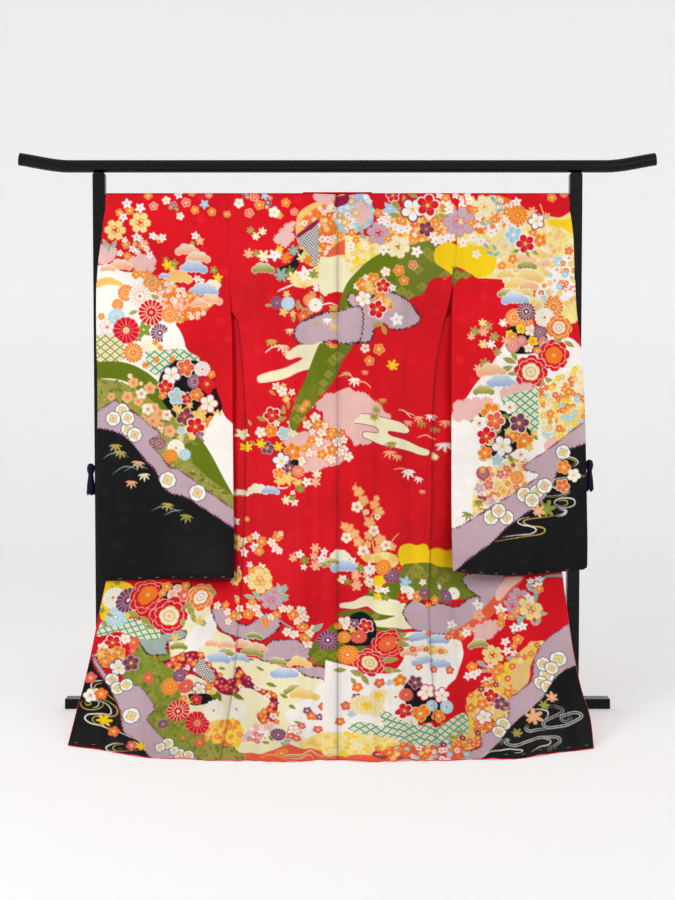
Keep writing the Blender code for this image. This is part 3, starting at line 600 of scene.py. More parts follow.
def sleeve_sheet(side, across, share, layer):
    """The middle surface of a sleeve's front or rear layer."""
    front, rear = sleeve_layers(side, across, share)
    points = (front if layer == "front" else rear).copy()
    sign = -1 if layer == "front" else 1
    apart = (front[..., 1] + rear[..., 1]) / 2 + sign * SEWN_APART
    sewn = np.clip(7 * across - 6, 0, 1) * soft_step((share - 0.16) / 0.06)
    sewn = np.maximum(sewn, np.clip((share - LINING_ENDS) / 0.015, 0, 1))
    points[..., 1] += (apart - points[..., 1]) * sewn
    drop = BAR_Z - points[..., 2]
    flat = np.stack([points[..., 0], drop], -1)
    lift = creases(SLEEVE_CREASES, side * points[..., 0], drop) * soft_step((drop - 0.03) / 0.1)
    for place, depth in SLEEVE_TUCKS:
        wave = place + 0.006 * np.sin(points[..., 0] * 14)
        lift = lift + depth * np.clip(1 - ((drop - wave) / 0.018) ** 2, 0, 1) ** 2
    lift = lift * soft_step((1 - share) * 14) * (1 - sewn)
    points[..., 1] -= lift
    points[..., 0] -= side * 0.6 * ARMHOLE * np.clip(1 - across * 80, 0, 1) * (drop < 0.22)
    return points, flat


def sleeve(side, silk, looks):
    """A flat pouch over the bar, open at the wrist and along its inner edge."""
    cloth = Cloth()
    quarter = np.pi / 2
    layers = (("front", np.array([0, -1, 0])), ("rear", np.array([0, 1, 0])))
    for (layer, push), cell in zip(layers, (SLEEVE_CELL, HIDDEN_CELL), strict=True):
        a, s = np.meshgrid(spread(0, 1, cell[0] / SLEEVE_SPAN), spread(0, 1, cell[1] / SLEEVE_DROP))
        points, flat = sleeve_sheet(side, a, s, layer)
        outer = points + push * FACE
        cloth.add(outer, flat, push, silk)
        if layer == "front":
            bottom = outer[-1, ::2]
        else:
            t = np.linspace(0, 1, 4)[:, None, None]
            last = outer[-1]
            across = bottom[:, 0] * side
            opposite = np.stack([np.interp(across, last[:, 0] * side, last[:, i]) for i in range(3)], -1)
            under = bottom[None] * (1 - t) + opposite[None] * t
            under[1:-1, :, 2] -= 0.0004
            place = np.stack([under[..., 0], np.full(under.shape[:2], flat[-1, 0, 1])], -1)
            cloth.add(under, place, np.array([0, 0, -1]), silk)
    over = np.linspace(-quarter, quarter, 13)
    cols = spread(0, 1, SLEEVE_CELL[0] / SLEEVE_SPAN)
    front = sleeve_sheet(side, cols, np.zeros(len(cols)), "front")[0]
    for radius, slot, way in ((SHOULDER_RADIUS + FACE, 0, 1), (SHOULDER_RADIUS - FACE, 1, -1)):
        x = front[None, :, 0] + 0 * over[:, None]
        y = radius * np.sin(over)[:, None] + 0 * x
        z = BAR_Z + radius * np.cos(over)[:, None] + 0 * x
        flat = np.stack([x, -0.012 * np.cos(over)[:, None] + 0 * x], -1)
        cloth.add(np.stack([x, y, z], -1), flat, np.array([0, 0, way]), None if slot else silk, slot)
    across = spread(0, 1, LINING_CELL[0] / SLEEVE_SPAN)
    a, s = np.meshgrid(across, spread(0, LINING_ENDS, LINING_CELL[1] / SLEEVE_DROP))
    for layer, push in layers:
        points, flat = sleeve_sheet(side, a, s, layer)
        cloth.add(points - push * FACE, flat, -push, None, 1)
    for layer, push in layers:
        for edge in (0.0, 1.0):
            s = spread(0, 1, HIDDEN_CELL[1])
            points, flat = sleeve_sheet(side, np.full((1, len(s)), edge), s[None], layer)
            away = np.array([side * (1 if edge else -1), 0, 0])
            outer, inner = points[0] + push * FACE, points[0] - push * FACE
            roll(cloth, outer, inner, away, SLEEVE_ROLL, flat[0], 0, silk, 3)
    s = spread(WRIST_SHARE, 1, HIDDEN_CELL[1])
    front = sleeve_sheet(side, np.ones((1, len(s))), s[None], "front")
    rear = sleeve_sheet(side, np.ones((1, len(s))), s[None], "rear")
    outer = front[0][0] + np.array([0, -FACE, 0])
    inner = rear[0][0] + np.array([0, FACE, 0])
    roll(cloth, outer, inner, np.array([side, 0, 0]), CLOSED_ROLL, front[1][0], 0, silk, 6)
    return cloth.finish("silk_sleeve_" + side_name(side), looks)


def body_basting(side):
    """The lines that the basting follows above the hem, on one half of the body."""
    across = spread(0.02, 0.98, 0.02)
    near_hem = np.array(HEM_BASTING)
    back = back_sheet(side, *np.meshgrid(across, near_hem))[0]
    front = front_sheet(side, across, near_hem, "front")[0]
    return [(points[1], facing(points, side)[1]) for points in (back, front)]


def okumi_basting(side):
    """As body_basting, above the overlap strip's hem."""
    strip = front_sheet(side, spread(0.04, 0.94, 0.03), np.array(HEM_BASTING), "okumi")[0]
    return [(strip[1], facing(strip, side)[1])]


def sleeve_basting(side):
    """As body_basting, along the sleeve's bottom."""
    across, down = np.meshgrid(spread(0.02, 0.98, 0.01), (0.992, 0.9955, 0.999))
    line = sleeve_sheet(side, across, down, "front")[0][1]
    return [(line, np.tile((0.0, -1.0, 0.0), (len(line), 1)))]


def basting(name, lines, pitch, look):
    """White stitches that show on the cloth every pitch along its lines. Each line comes with its way out of
    the cloth."""
    points, faces = [], []
    for line, out in lines:
        length = np.concatenate([[0], np.cumsum(np.linalg.norm(np.diff(line, axis=0), axis=1))])
        for number, start in enumerate(np.arange(0.3 * pitch, length[-1] - STITCH, pitch)):
            along = start + 0.003 * np.sin(number * 2.4) + STITCH * np.linspace(0, 1, 5)
            at, up = (np.stack([np.interp(along, length, v[:, i]) for i in range(3)], -1)
                      for v in (line, out))
            at = at + up * (FACE + THREAD * np.array([-0.8, 0.7, 1.0, 0.7, -0.8]))[:, None]
            aside = np.cross(up, (at[-1] - at[0]) / np.linalg.norm(at[-1] - at[0])) * THREAD
            first = len(points) * 4
            points.extend(np.stack([at + aside, at + up * THREAD, at - aside, at - up * THREAD], 1))
            for ring in range(first, first + 16, 4):
                for j in range(4):
                    after = (j + 1) % 4
                    faces.append((ring + j, ring + after, ring + 4 + after, ring + 4 + j))
            faces += [(first + 3, first + 2, first + 1, first), tuple(range(first + 16, first + 20))]
    mesh = bpy.data.meshes.new(name)
    mesh.from_pydata(np.concatenate(points).tolist(), [], faces)
    mesh.shade_smooth()
    mesh.materials.append(look)
    return placed(name, mesh)


def collar(silk, looks):
    """The doubled band round the back neck and down both fronts."""
    cloth = Cloth()
    t = spread(0, 1, COLLAR_CELL[0] / COLLAR_WIDTH)
    down = spread(COLLAR_START, COLLAR_END, COLLAR_CELL[1])[::-1]
    neck = columns(COLLAR_NECK)
    flat_neck = np.stack([neck[name] for name in COLLAR_NECK[0]], -1)
    mirrored = flat_neck[-2::-1] * (-1, 1, -1, 1)
    turn = np.concatenate([flat_neck, mirrored]) * (-1, 1, -1, 1)
    keys = np.arange(len(turn), dtype=float)
    where = spread(0, len(turn) - 1, 0.25)
    turn = np.stack([np.interp(where, keys, turn[:, i]) for i in range(4)], -1)
    lines = []
    sewn, free = collar_front(-1, down)
    lines += [a + (b - a) * t[:, None] for a, b in zip(sewn, free, strict=True)]
    for sewn_x, sewn_over, free_x, free_over in turn:
        x = sewn_x + (free_x - sewn_x) * t
        over = sewn_over + (free_over - sewn_over) * t
        lines.append(over_bar(x, over, COLLAR_RADIUS))
    sewn, free = collar_front(1, down[::-1])
    lines += [a + (b - a) * t[:, None] for a, b in zip(sewn, free, strict=True)]
    points = np.stack(lines)
    length = np.concatenate([[0], np.cumsum(np.linalg.norm(np.diff(points[:, 0], axis=0), axis=1))])
    length -= length[-1] / 2
    whole = 0 * points[..., 0]
    flat = np.stack([0.62 + whole - 0.06 * t[None, :], 0.35 + np.abs(length)[:, None] * 0.6 + whole], -1)
    out = facing(points, 1)
    push = out * COLLAR_FACE
    cloth.add(points + push, flat, out, silk)
    cloth.add(points - push, flat, -out, silk)
    for edge, near in ((0, 1), (-1, -2)):
        away = unit(points[:, edge] - points[:, near])
        outer, inner = points[:, edge] + push[:, edge], points[:, edge] - push[:, edge]
        roll(cloth, outer, inner, away, EDGE_ROLL, flat[:, edge], 0, silk)
    for end, near in ((0, 1), (-1, -2)):
        away = unit(points[end] - points[near])
        outer, inner = points[end] + push[end], points[end] - push[end]
        roll(cloth, outer, inner, away, COLLAR_END_ROLL, flat[end], 0, silk)
    return cloth.finish("silk_collar", looks)


# The painter: dyed motifs on flat silk
GRAIN = 0.0012  # the size of the painter's finest mark
DOT = 0.0021  # the pitch of the nibbled edge that tie-dyeing leaves
INK = {
    "red": (0.850, 0.027, 0.103), "scarlet": (0.850, 0.060, 0.115), "white": (0.975, 0.960, 0.935),
    "cream": (0.955, 0.920, 0.760), "pale_yellow": (0.965, 0.885, 0.560), "yellow": (0.985, 0.815, 0.060),
    "honey": (0.950, 0.780, 0.420), "orange": (0.960, 0.480, 0.110), "coral": (0.925, 0.380, 0.240),
    "peach": (0.965, 0.700, 0.520), "pink": (0.955, 0.750, 0.710), "rose": (0.880, 0.400, 0.430),
    "plum": (0.470, 0.210, 0.360), "lilac": (0.765, 0.655, 0.710), "sky": (0.650, 0.815, 0.890),
    "blue": (0.640, 0.730, 0.860), "teal": (0.120, 0.560, 0.480), "sage": (0.560, 0.690, 0.640),
    "moss": (0.420, 0.470, 0.120), "green": (0.400, 0.465, 0.045), "olive": (0.620, 0.600, 0.270),
    "leaf": (0.520, 0.570, 0.180), "black": (0.045, 0.052, 0.060), "gold": (0.800, 0.670, 0.300),
    "wine": (0.560, 0.070, 0.260),
}


def ink(name):
    return np.array(INK[name], np.float32)


class Silk:
    """Flat silk with its print. x runs across and y down, in metres."""

    def __init__(self, left, right, length):
        self.left = left
        self.top = -0.02
        self.cols = int((right - left) / GRAIN) + 2
        self.rows = int((length - self.top) / GRAIN) + 2
        self.rgb = np.empty((self.rows, self.cols, 3), np.float32)
        self.rgb[:] = ink("red")
        self.tied = np.zeros((self.rows, self.cols), np.float32)

    def near(self, x, y, reach):
        """The part of the silk within reach of a point, and the way from the point to each grain there."""
        wide, high = np.broadcast_to(reach, 2)
        c = [(x - wide - self.left) / GRAIN, (x + wide - self.left) / GRAIN + 2]
        r = [(y - high - self.top) / GRAIN, (y + high - self.top) / GRAIN + 2]
        c = np.clip(c, 0, self.cols).astype(int)
        r = np.clip(r, 0, self.rows).astype(int)
        across = self.left + np.arange(*c) * GRAIN - x
        down = self.top + np.arange(*r) * GRAIN - y
        return (slice(*r), slice(*c)), *np.meshgrid(across.astype(np.float32), down.astype(np.float32))

    def about(self, low, high):
        """As near, for a box: the part of the silk, and each grain's own place."""
        mid = (low + high) / 2
        where, dx, dy = self.near(*mid, (high - low) / 2 + 0.005)
        return where, dx + mid[0], dy + mid[1]

    def lay(self, where, mask, colour, tied=0.0):
        """Ink on the silk. tied is 1 where the cloth is tie-dyed in dots."""
        if isinstance(colour, str):
            colour = ink(colour)
        part = self.rgb[where]
        part += (colour - part) * mask[..., None]
        part = self.tied[where]
        part += (tied - part) * mask

    def look(self, spots):
        """Colour and tied share at places on the silk."""
        c = np.clip((spots[..., 0] - self.left) / GRAIN, 0, self.cols - 1.001)
        r = np.clip((spots[..., 1] - self.top) / GRAIN, 0, self.rows - 1.001)
        ci, ri = c.astype(int), r.astype(int)
        fc, fr = (c - ci)[..., None], (r - ri)[..., None]
        out = 0
        for dr in (0, 1):
            for dc in (0, 1):
                share = (fr if dr else 1 - fr) * (fc if dc else 1 - fc)
                tied = self.tied[ri + dr, ci + dc][..., None]
                out = out + share * np.concatenate([self.rgb[ri + dr, ci + dc], tied], -1)
        return out.astype(np.float32)


def inside(distance, soft=1.0):
    """1 inside an outline and 0 outside, from the distance past it."""
    return np.clip(0.5 - distance / (GRAIN * soft), 0, 1)


def turned(x, y, turn):
    c, s = np.cos(turn), np.sin(turn)
    return x * c + y * s, -x * s + y * c


def wedged(x, y, count, turn):
    """Distance from the middle, and the angle off the nearest of count even rays."""
    wedge = 2 * np.pi / count
    return np.hypot(x, y), (np.arctan2(x, -y) + turn + wedge / 2) % wedge - wedge / 2


def petals(x, y, r, count, middle, length, width, turn=0.0, notch=0.0):
    """Distance past a ring of petals. middle, length and width are shares of r."""
    rho, angle = wedged(x, y, count, turn)
    along, aside = rho * np.cos(angle), rho * np.sin(angle)
    d = (np.hypot((along - middle * r) / length, aside / width) - r) * min(length, width)
    if notch:
        cut = notch * r * (1 - np.abs(aside) / (0.16 * r))
        d = np.maximum(d, (along - (middle + length) * r + cut) * 0.7)
    return d


def petals_off(x, y, r, count, turn):
    """The way from the middle of the nearest petal, along it and across it."""
    rho, angle = wedged(x, y, count, turn)
    return rho * np.cos(angle) - r, rho * np.sin(angle)


def rays(x, y, count, start, end, thick, turn=0.0):
    """Distance past thin rays from the heart."""
    rho, angle = wedged(x, y, count, turn)
    return np.maximum(np.abs(rho * np.sin(angle)) - thick, np.maximum(start - rho, rho - end))


def plum(silk, x, y, r, inks, turn, notch=0.0):
    """A five-petalled plum flower with a pale outline, rays and a heart."""
    fill, edge, heart = inks
    where, dx, dy = silk.near(x, y, r * 1.2)
    rho = np.hypot(dx, dy)
    d = petals(dx, dy, r, 5, 0.54, 0.44, 0.40, turn, notch)
    d = np.minimum(d, rho - 0.45 * r)
    rim = max(0.0011, 0.10 * r)
    if edge != fill:
        silk.lay(where, inside(d - rim * 0.5), edge)
        d = d + rim * 0.6
    silk.lay(where, inside(d), fill)
    if r > 0.008:
        gaps = rays(dx, dy, 5, 0.30 * r, 0.80 * r, 0.0005, turn + np.pi / 5)
        silk.lay(where, inside(gaps) * 0.8, edge)
        silk.lay(where, inside(rays(dx, dy, 10, 0.16 * r, 0.50 * r, 0.00035, turn)) * 0.9, heart)
    silk.lay(where, inside(rho - (0.17 if r > 0.008 else 0.24) * r), heart)


def cherry(silk, x, y, r, inks, turn):
    """A cherry flower: as the plum, with notched petals."""
    plum(silk, x, y, r, inks, turn, 0.16)


def star(silk, x, y, r, inks, turn):
    """A pointed star of a flower."""
    where, dx, dy = silk.near(x, y, r * 1.15)
    rho, angle = wedged(dx, dy, 5, turn)
    t = np.abs(angle) * 5 / np.pi
    silk.lay(where, inside(rho - r * (1 - 0.50 * t ** 0.9)), inks[0])
    silk.lay(where, inside(rho - 0.12 * r), inks[1])
    silk.lay(where, inside(rays(dx, dy, 5, 0.1 * r, 0.6 * r, 0.0003, turn)) * 0.45, inks[1])


def mum(silk, x, y, r, inks, turn):
    """A chrysanthemum: a ring of narrow petals, an inner ring and a heart."""
    fill, edge, heart = inks
    count = 16 if r > 0.016 else 12
    where, dx, dy = silk.near(x, y, r * 1.15)
    rho, angle = wedged(dx, dy, count, turn)
    half = np.pi / count
    rim = rho - r * (1 - 0.12 * (angle / half) ** 2)
    parting = rho * (np.sin(np.abs(angle)) - np.sin(half)) + max(0.0005, 0.034 * r)
    silk.lay(where, inside(rim - 0.0009), edge)
    silk.lay(where, inside(np.maximum(parting, rim)), fill)
    silk.lay(where, inside(rho - 0.42 * r), edge)
    silk.lay(where, inside(petals(dx, dy, r, max(count - 6, 8), 0.26, 0.14, 0.095, turn + 0.2)), fill)
    silk.lay(where, inside(rho - 0.13 * r), heart)


def rose_mum(silk, x, y, r, inks, turn):
    """A round flower whose many petals are divided by fine pale lines."""
    fill, edge, heart = inks
    where, dx, dy = silk.near(x, y, r * 1.12)
    rho, angle = wedged(dx, dy, 14, turn)
    wave = r * (0.95 + 0.05 * np.cos(angle * 7))
    silk.lay(where, inside(rho - wave), fill)
    silk.lay(where, inside(rays(dx, dy, 14, 0.22 * r, 0.98 * r, 0.0005, turn + np.pi / 14)) * 0.9, edge)
    silk.lay(where, inside(np.abs(rho - 0.97 * wave) - 0.0005) * 0.7, edge)
    silk.lay(where, inside(rho - 0.23 * r), edge)
    silk.lay(where, inside(rho - 0.19 * r), heart)


def peony(silk, x, y, r, inks, turn):
    """A full flower in four rings of lobed petals, each outlined."""
    fill, edge, core = inks
    where, dx, dy = silk.near(x, y, r * 1.2)
    rings = ((1.0, 8, 0.0, fill), (0.76, 7, 0.35, fill), (0.52, 5, 0.1, core), (0.27, 4, 0.5, core))
    for share, count, shift, tone in rings:
        size = r * share
        d = petals(dx, dy, size, count, 0.66, 0.36, 2.7 / count, turn + shift, 0.03)
        d = np.minimum(d, np.hypot(dx, dy) - 0.66 * size)
        silk.lay(where, inside(d - 0.0008), edge if tone == fill else "orange")
        silk.lay(where, inside(d + 0.0007), tone)
        veins = rays(dx, dy, count * 2, 0.55 * size, 0.86 * size, 0.0003, turn + shift)
        silk.lay(where, inside(veins) * 0.45, edge)
    silk.lay(where, inside(np.hypot(dx, dy) - 0.10 * r), "honey")


def tied_flower(silk, x, y, r, inks, turn):
    """A full flower of six outer and three inner petals tied off in dots, parted by lines of the second
    ink."""
    where, dx, dy = silk.near(x, y, r * 1.15)
    for share, count, width in ((1.0, 6, 0.335), (0.40, 3, 0.46)):
        d = petals(dx, dy, r * share, count, 0.64, 0.37, width, turn, 0.07)
        silk.lay(where, inside(d - 0.0009), inks[1])
        silk.lay(where, inside(d + 0.0008), inks[0], 0.5)
        knot = np.hypot(*petals_off(dx, dy, r * share * 0.62, count, turn)) - 0.0016
        silk.lay(where, inside(knot) * 0.6, inks[1])


def leaf(silk, x, y, r, inks, turn, slim=0.42):
    """One pointed leaf with its rib. r is half its length."""
    fill, edge = inks
    where, dx, dy = silk.near(x, y, r * 1.1)
    a, b = turned(dx, dy, turn)
    d = np.abs(b) - r * slim * (1 - np.clip(np.abs(a) / r, 0, 1) ** 1.7)
    d = np.maximum(d, np.abs(a) - r)
    silk.lay(where, inside(d), edge)
    silk.lay(where, inside(d + 0.0009), fill)
    silk.lay(where, inside(np.maximum(np.abs(b) - 0.0003, np.abs(a) - 0.8 * r)) * 0.7, edge)


def maple(silk, x, y, r, inks, turn):
    """A leaf of seven points."""
    where, dx, dy = silk.near(x, y, r * 1.15)
    a, b = turned(dx, dy, turn)
    rho = np.hypot(a, b)
    angle = np.arctan2(a, -b)
    lobe = np.abs(np.cos(angle * 3.25))
    size = r * (0.42 + 0.58 * lobe ** 1.25) * (1 - 0.42 * (np.abs(angle) / np.pi) ** 2)
    silk.lay(where, inside(rho - size - 0.0008), inks[1])
    silk.lay(where, inside(rho - size), inks[0])
    silk.lay(where, inside(rays(a, b, 7, 0.0, 0.6 * r, 0.0003)) * 0.4, "cream")


def bamboo(silk, x, y, r, inks, turn):
    """A spray of narrow leaves."""
    for a, size in ((-1.25, 0.8), (-0.65, 0.95), (0.0, 1.0), (0.65, 0.95), (1.25, 0.8)):
        way = np.pi / 2 + a + turn
        half = 0.6 * r * size
        leaf(silk, x + half * np.cos(way), y + half * np.sin(way), half, (inks[0], inks[0]), way, 0.24)


def pine(silk, x, y, r, inks, turn):
    """A flat-bottomed bank of pine, paler at its upper edge."""
    where, dx, dy = silk.near(x, y, (r * 1.25, r * 0.8))
    d = 9.0
    for cx, cy, cr in ((-0.66, 0.12, 0.34), (-0.24, -0.10, 0.44), (0.26, -0.06, 0.42), (0.68, 0.14, 0.32)):
        d = np.minimum(d, np.hypot(dx - cx * r, dy - cy * r) - cr * r)
    d = np.maximum(d, dy - r * (0.36 + 0.07 * np.cos(dx / r * 9)))
    silk.lay(where, inside(d - 0.0008), "white")
    shade = np.clip(0.85 + dy / r, 0.3, 1)[..., None]
    silk.lay(where, inside(d + 0.0006), ink(inks[1]) * (1 - shade) + ink(inks[0]) * shade)


def tile(silk, x, y, r, inks, turn):
    """A white cut-cornered tile with nested squares, as if tied off in the dyeing."""
    where, dx, dy = silk.near(x, y, r * 1.35)
    a, b = turned(dx, dy, turn)
    box = np.maximum(np.abs(a), np.abs(b))
    d = np.maximum(box, (np.abs(a) + np.abs(b)) * 0.74) - r
    silk.lay(where, inside(d - 0.0008), "black")
    silk.lay(where, inside(d + 0.0006), "white")
    for share, tone in ((0.50, "olive"), (0.42, "cream"), (0.28, inks[0])):
        silk.lay(where, inside(box - share * r), tone)


def nest(silk, x, y, r, inks, turn):
    """Fine diamonds, one in the other."""
    where, dx, dy = silk.near(x, y, r * 1.1)
    side = np.abs(dx) + np.abs(dy) * 1.2
    for share in (1.0, 0.50):
        silk.lay(where, inside(np.abs(side - share * r) * 0.75 - 0.0009), inks[0])


def disc(silk, x, y, r, inks, turn):
    """A plain round."""
    where, dx, dy = silk.near(x, y, r)
    silk.lay(where, inside(np.hypot(dx, dy) - r * 0.8), inks[0])


def shape(silk, where, d, x, y, inks, tied=False):
    """Fills an outline, with an edge of the second ink. A tied one has a nibbled edge and dots."""
    edge = len(inks) > 1 and inks[1] != inks[0]
    if tied:
        d = d + 0.0014 * np.sign(np.sin(x / DOT) * np.sin(y / DOT))
    if edge:
        silk.lay(where, inside(d - (0.0024 if tied else 0.0012)), inks[1])
    silk.lay(where, inside(d + (0.0004 if edge else 0)), inks[0], float(tied))
    return where, inside(d), x, y


def puff(silk, blobs, inks, tied=False):
    """A cloud of joined rounds, often tied off in dots. Each is x, y and radius."""
    blobs = np.array(blobs)
    where, x, y = silk.about((blobs[:, :2] - blobs[:, 2:]).min(0), (blobs[:, :2] + blobs[:, 2:]).max(0))
    d = 9.0
    for bx, by, br in blobs:
        d = np.minimum(d, np.hypot(x - bx, y - by) - br)
    return shape(silk, where, d, x, y, inks, tied)


def curve(points, steps=10):
    """A smooth line through the points."""
    p = np.array(points, float)
    p = np.vstack([2 * p[0] - p[1], p, 2 * p[-1] - p[-2]])
    out = []
    for i in range(1, len(p) - 2):
        t = np.linspace(0, 1, steps, endpoint=False)[:, None]
        a, b, c, d = p[i - 1:i + 3]
        bent = 2 * b + (c - a) * t + (2 * a - 5 * b + 4 * c - d) * t**2
        out.append(0.5 * (bent + (3 * b - a - 3 * c + d) * t**3))
    return np.vstack([*out, p[-2:-1]])


def from_segment(x, y, a, b):
    """Distance from the line between two points, and how far along it the nearest spot is, from 0 to 1."""
    way = b[:2] - a[:2]
    t = np.clip(((x - a[0]) * way[0] + (y - a[1]) * way[1]) / max(way @ way, 1e-12), 0, 1)
    return np.hypot(x - a[0] - way[0] * t, y - a[1] - way[1] * t), t


def band(silk, points, inks, tied=False, straight=False):
    """A stripe of dye along a line. Each point is x, y and half width."""
    line = np.array(points, float) if straight else curve(points)
    where, x, y = silk.about((line[:, :2] - line[:, 2:]).min(0), (line[:, :2] + line[:, 2:]).max(0))
    d = 9.0
    for a, b in zip(line, line[1:], strict=False):
        away, t = from_segment(x, y, a, b)
        d = np.minimum(d, away - a[2] - (b[2] - a[2]) * t)
    return shape(silk, where, d, x, y, inks, tied)


def patch(silk, points, inks, tied=False):
    """A filled outline. Its points are joined by a smooth line."""
    line = curve([*points, points[0]], 6)[:-1]
    where, x, y = silk.about(line.min(0), line.max(0))
    d = 9.0
    within = np.zeros(x.shape, bool)
    for a, b in zip(line, np.roll(line, -1, axis=0), strict=True):
        d = np.minimum(d, from_segment(x, y, a, b)[0])
        if a[1] != b[1]:
            edge = a[0] + (y - a[1]) / (b[1] - a[1]) * (b[0] - a[0])
            within ^= ((a[1] > y) != (b[1] > y)) & (x < edge)
    return shape(silk, where, np.where(within, -d, d), x, y, inks, tied)


def lattice(silk, held, colour, pitch, thick, turn, hearts=None):
    """A diamond lattice over what has just been covered. Its wide bars have a pale line down the middle."""
    where, mask, x, y = held
    a, b = turned(x, y, turn)
    p = (a + b * 1.25) / pitch
    q = (a - b * 1.25) / pitch
    fp = np.abs((p + 0.5) % 1 - 0.5) * pitch
    fq = np.abs((q + 0.5) % 1 - 0.5) * pitch
    near = np.minimum(fp, fq)
    silk.lay(where, inside(near - thick) * mask, colour)
    if thick > 0.002:
        silk.lay(where, inside(near - 0.0005) * mask, "cream")
    if hearts:
        spot = np.hypot((p - np.floor(p) - 0.5) * pitch, (q - np.floor(q) - 0.5) * pitch) - 0.0020
        silk.lay(where, inside(spot) * mask, hearts)


def hatch(silk, held, colour, pitch, thick, turn):
    """Fine hatching over what has just been covered."""
    where, mask, x, y = held
    a, b = turned(x, y, turn)
    line = np.minimum(np.abs((a / pitch) % 1 - 0.5), np.abs((b / pitch) % 1 - 0.5)) * pitch - thick
    silk.lay(where, inside(line) * mask * 0.45, colour)


def stream(silk, points, inks, gap, thick):
    """Brush lines of running water side by side, thin at their ends. Each point is x, y and the lines'
    spread."""
    line = curve(points, 12)
    way = np.gradient(line[:, :2], axis=0)
    way /= np.maximum(np.linalg.norm(way, axis=1, keepdims=True), 1e-9)
    aside = np.stack([-way[:, 1], way[:, 0]], 1)
    for i, colour in enumerate(inks):
        at = line[:, :2] + aside * (i - (len(inks) - 1) / 2) * gap * line[:, 2:3]
        half = thick * (0.4 + 0.9 * np.sin(np.pi * np.linspace(0, 1, len(at))))
        band(silk, np.column_stack([at, half]), (colour,), straight=True)


def mass(silk, held, inks, pitch, seed, kinds, gaps):
    """Small flowers packed over what has just been covered. gaps is the share left out."""
    _, mask, x, y = held
    rng = np.random.default_rng(seed)
    for j, py in enumerate(np.arange(y.min(), y.max(), pitch * 0.87)):
        for px in np.arange(x.min(), x.max(), pitch) + (j % 2) * pitch / 2:
            jx, jy, pick, tone, spin, skip = rng.random(6)
            cx = px + (jx - 0.5) * pitch * 0.6
            cy = py + (jy - 0.5) * pitch * 0.6
            c = int((cx - x[0, 0]) / GRAIN)
            r = int((cy - y[0, 0]) / GRAIN)
            if not (0 <= c < mask.shape[1] and 0 <= r < mask.shape[0]) or mask[r, c] < 0.5 or skip < gaps:
                continue
            colour = inks[int(tone * len(inks))]
            pale = colour in ("white", "cream", "pink", "pale_yellow")
            heart = ("coral" if colour == "white" else "honey") if pale else "cream"
            kind = kinds[int(pick * len(kinds))]
            edge = heart if kind == "star" else colour
            MOTIFS[kind](silk, cx, cy, pitch * (0.48 + 0.17 * jx), (colour, edge, heart), spin * 6)


def ground_flowers(silk, seed, pitch=0.075, lift=0.040):
    """Faint cherry flowers woven in the ground, a little brighter than it."""
    rng = np.random.default_rng(seed)
    for row, y in enumerate(np.arange(silk.top, silk.rows * GRAIN, pitch * 0.8)):
        for x in np.arange(silk.left, silk.left + silk.cols * GRAIN, pitch) + (row % 2) * pitch / 2:
            jx, jy, spin, size = rng.random(4)
            r = 0.010 + 0.006 * size
            where, dx, dy = silk.near(x + (jx - 0.5) * 0.05, y + (jy - 0.5) * 0.05, r * 1.1)
            m = inside(petals(dx, dy, r, 5, 0.56, 0.40, 0.26, spin * 6, 0.2), 2.4) * (0.4 + 0.6 * size)
            part = silk.rgb[where]
            part += (np.clip(part + lift, 0, 1) - part) * m[..., None]


def painted_seam_shade(silk, line, half, depth, way=0):
    """Painted shade along a seam: darkens the print where the seam and the cloth beside it would lie in
    shadow.
    line gives its place across for each distance down. A way of 1 or -1 shades one side of it."""
    down = silk.top + np.arange(silk.rows) * GRAIN
    across = silk.left + np.arange(silk.cols) * GRAIN
    off = across[None] - line(down)[:, None]
    share = np.clip(1 - np.abs(off) / half, 0, 1) ** 1.5
    if way:
        share = share * (off * way > -0.001)
    silk.rgb *= 1 - depth * share[..., None].astype(np.float32)


MOTIFS = {
    "plum": plum, "cherry": cherry, "star": star, "mum": mum, "rose-mum": rose_mum, "peony": peony,
    "tied-flower": tied_flower, "leaf": lambda silk, x, y, r, inks, turn: leaf(silk, x, y, r, inks[:2], turn),
    "maple": maple, "bamboo": bamboo, "pine": pine, "tile": tile, "nest": nest, "round": disc,
}
FILLS = {"lattice": lattice, "hatch": hatch}
SHAPES = {"patch": patch, "tied-patch": patch, "band": band, "twig": band, "kanoko": puff}


def paint(silk, table, seed):
    """Lays the steps of a table on the silk in turn. A line that starts with a space goes on from the one
    before. Places are in millimetres, turns in degrees."""
    held = None
    for line in table.strip().replace("\n ", " ").split("\n"):
        head, _, tail = line.partition(":")
        kind, *words = head.split()
        spots = [[float(v) for v in spot.split()] for spot in tail.split(",") if spot.strip()]
        if kind == "ground":
            ground_flowers(silk, seed)
            continue
        if kind in FILLS:
            FILLS[kind](silk, held, words[0], *(float(v) for v in words[1:4]), *words[4:])
            continue
        inks = words[0].split("/")
        places = [[v * 0.001 for v in spot[:3]] for spot in spots]
        if kind == "mass":
            if places:
                held = patch(silk, np.array(places), inks[:1])
            mass(silk, held, inks, float(words[1]), int(words[2]), words[3].split("/"), float(words[4]))
        elif kind == "stream":
            gap, thick = (float(v) * 0.001 or d for v, d in zip(words[1:] or "00", (0.0052, 0.0011)))
            stream(silk, [(x, y, wide * 1000) for x, y, wide in places], inks, gap, thick)
        elif kind in SHAPES:
            held = SHAPES[kind](silk, np.array(places), inks, kind.startswith(("tied", "kanoko")))
        else:
            for i, (place, spot) in enumerate(zip(places, spots, strict=True)):
                spin = np.radians(spot[3]) if len(spot) > 3 else 1.7 * i + place[0] * 40
                MOTIFS[kind](silk, *place, inks, spin)


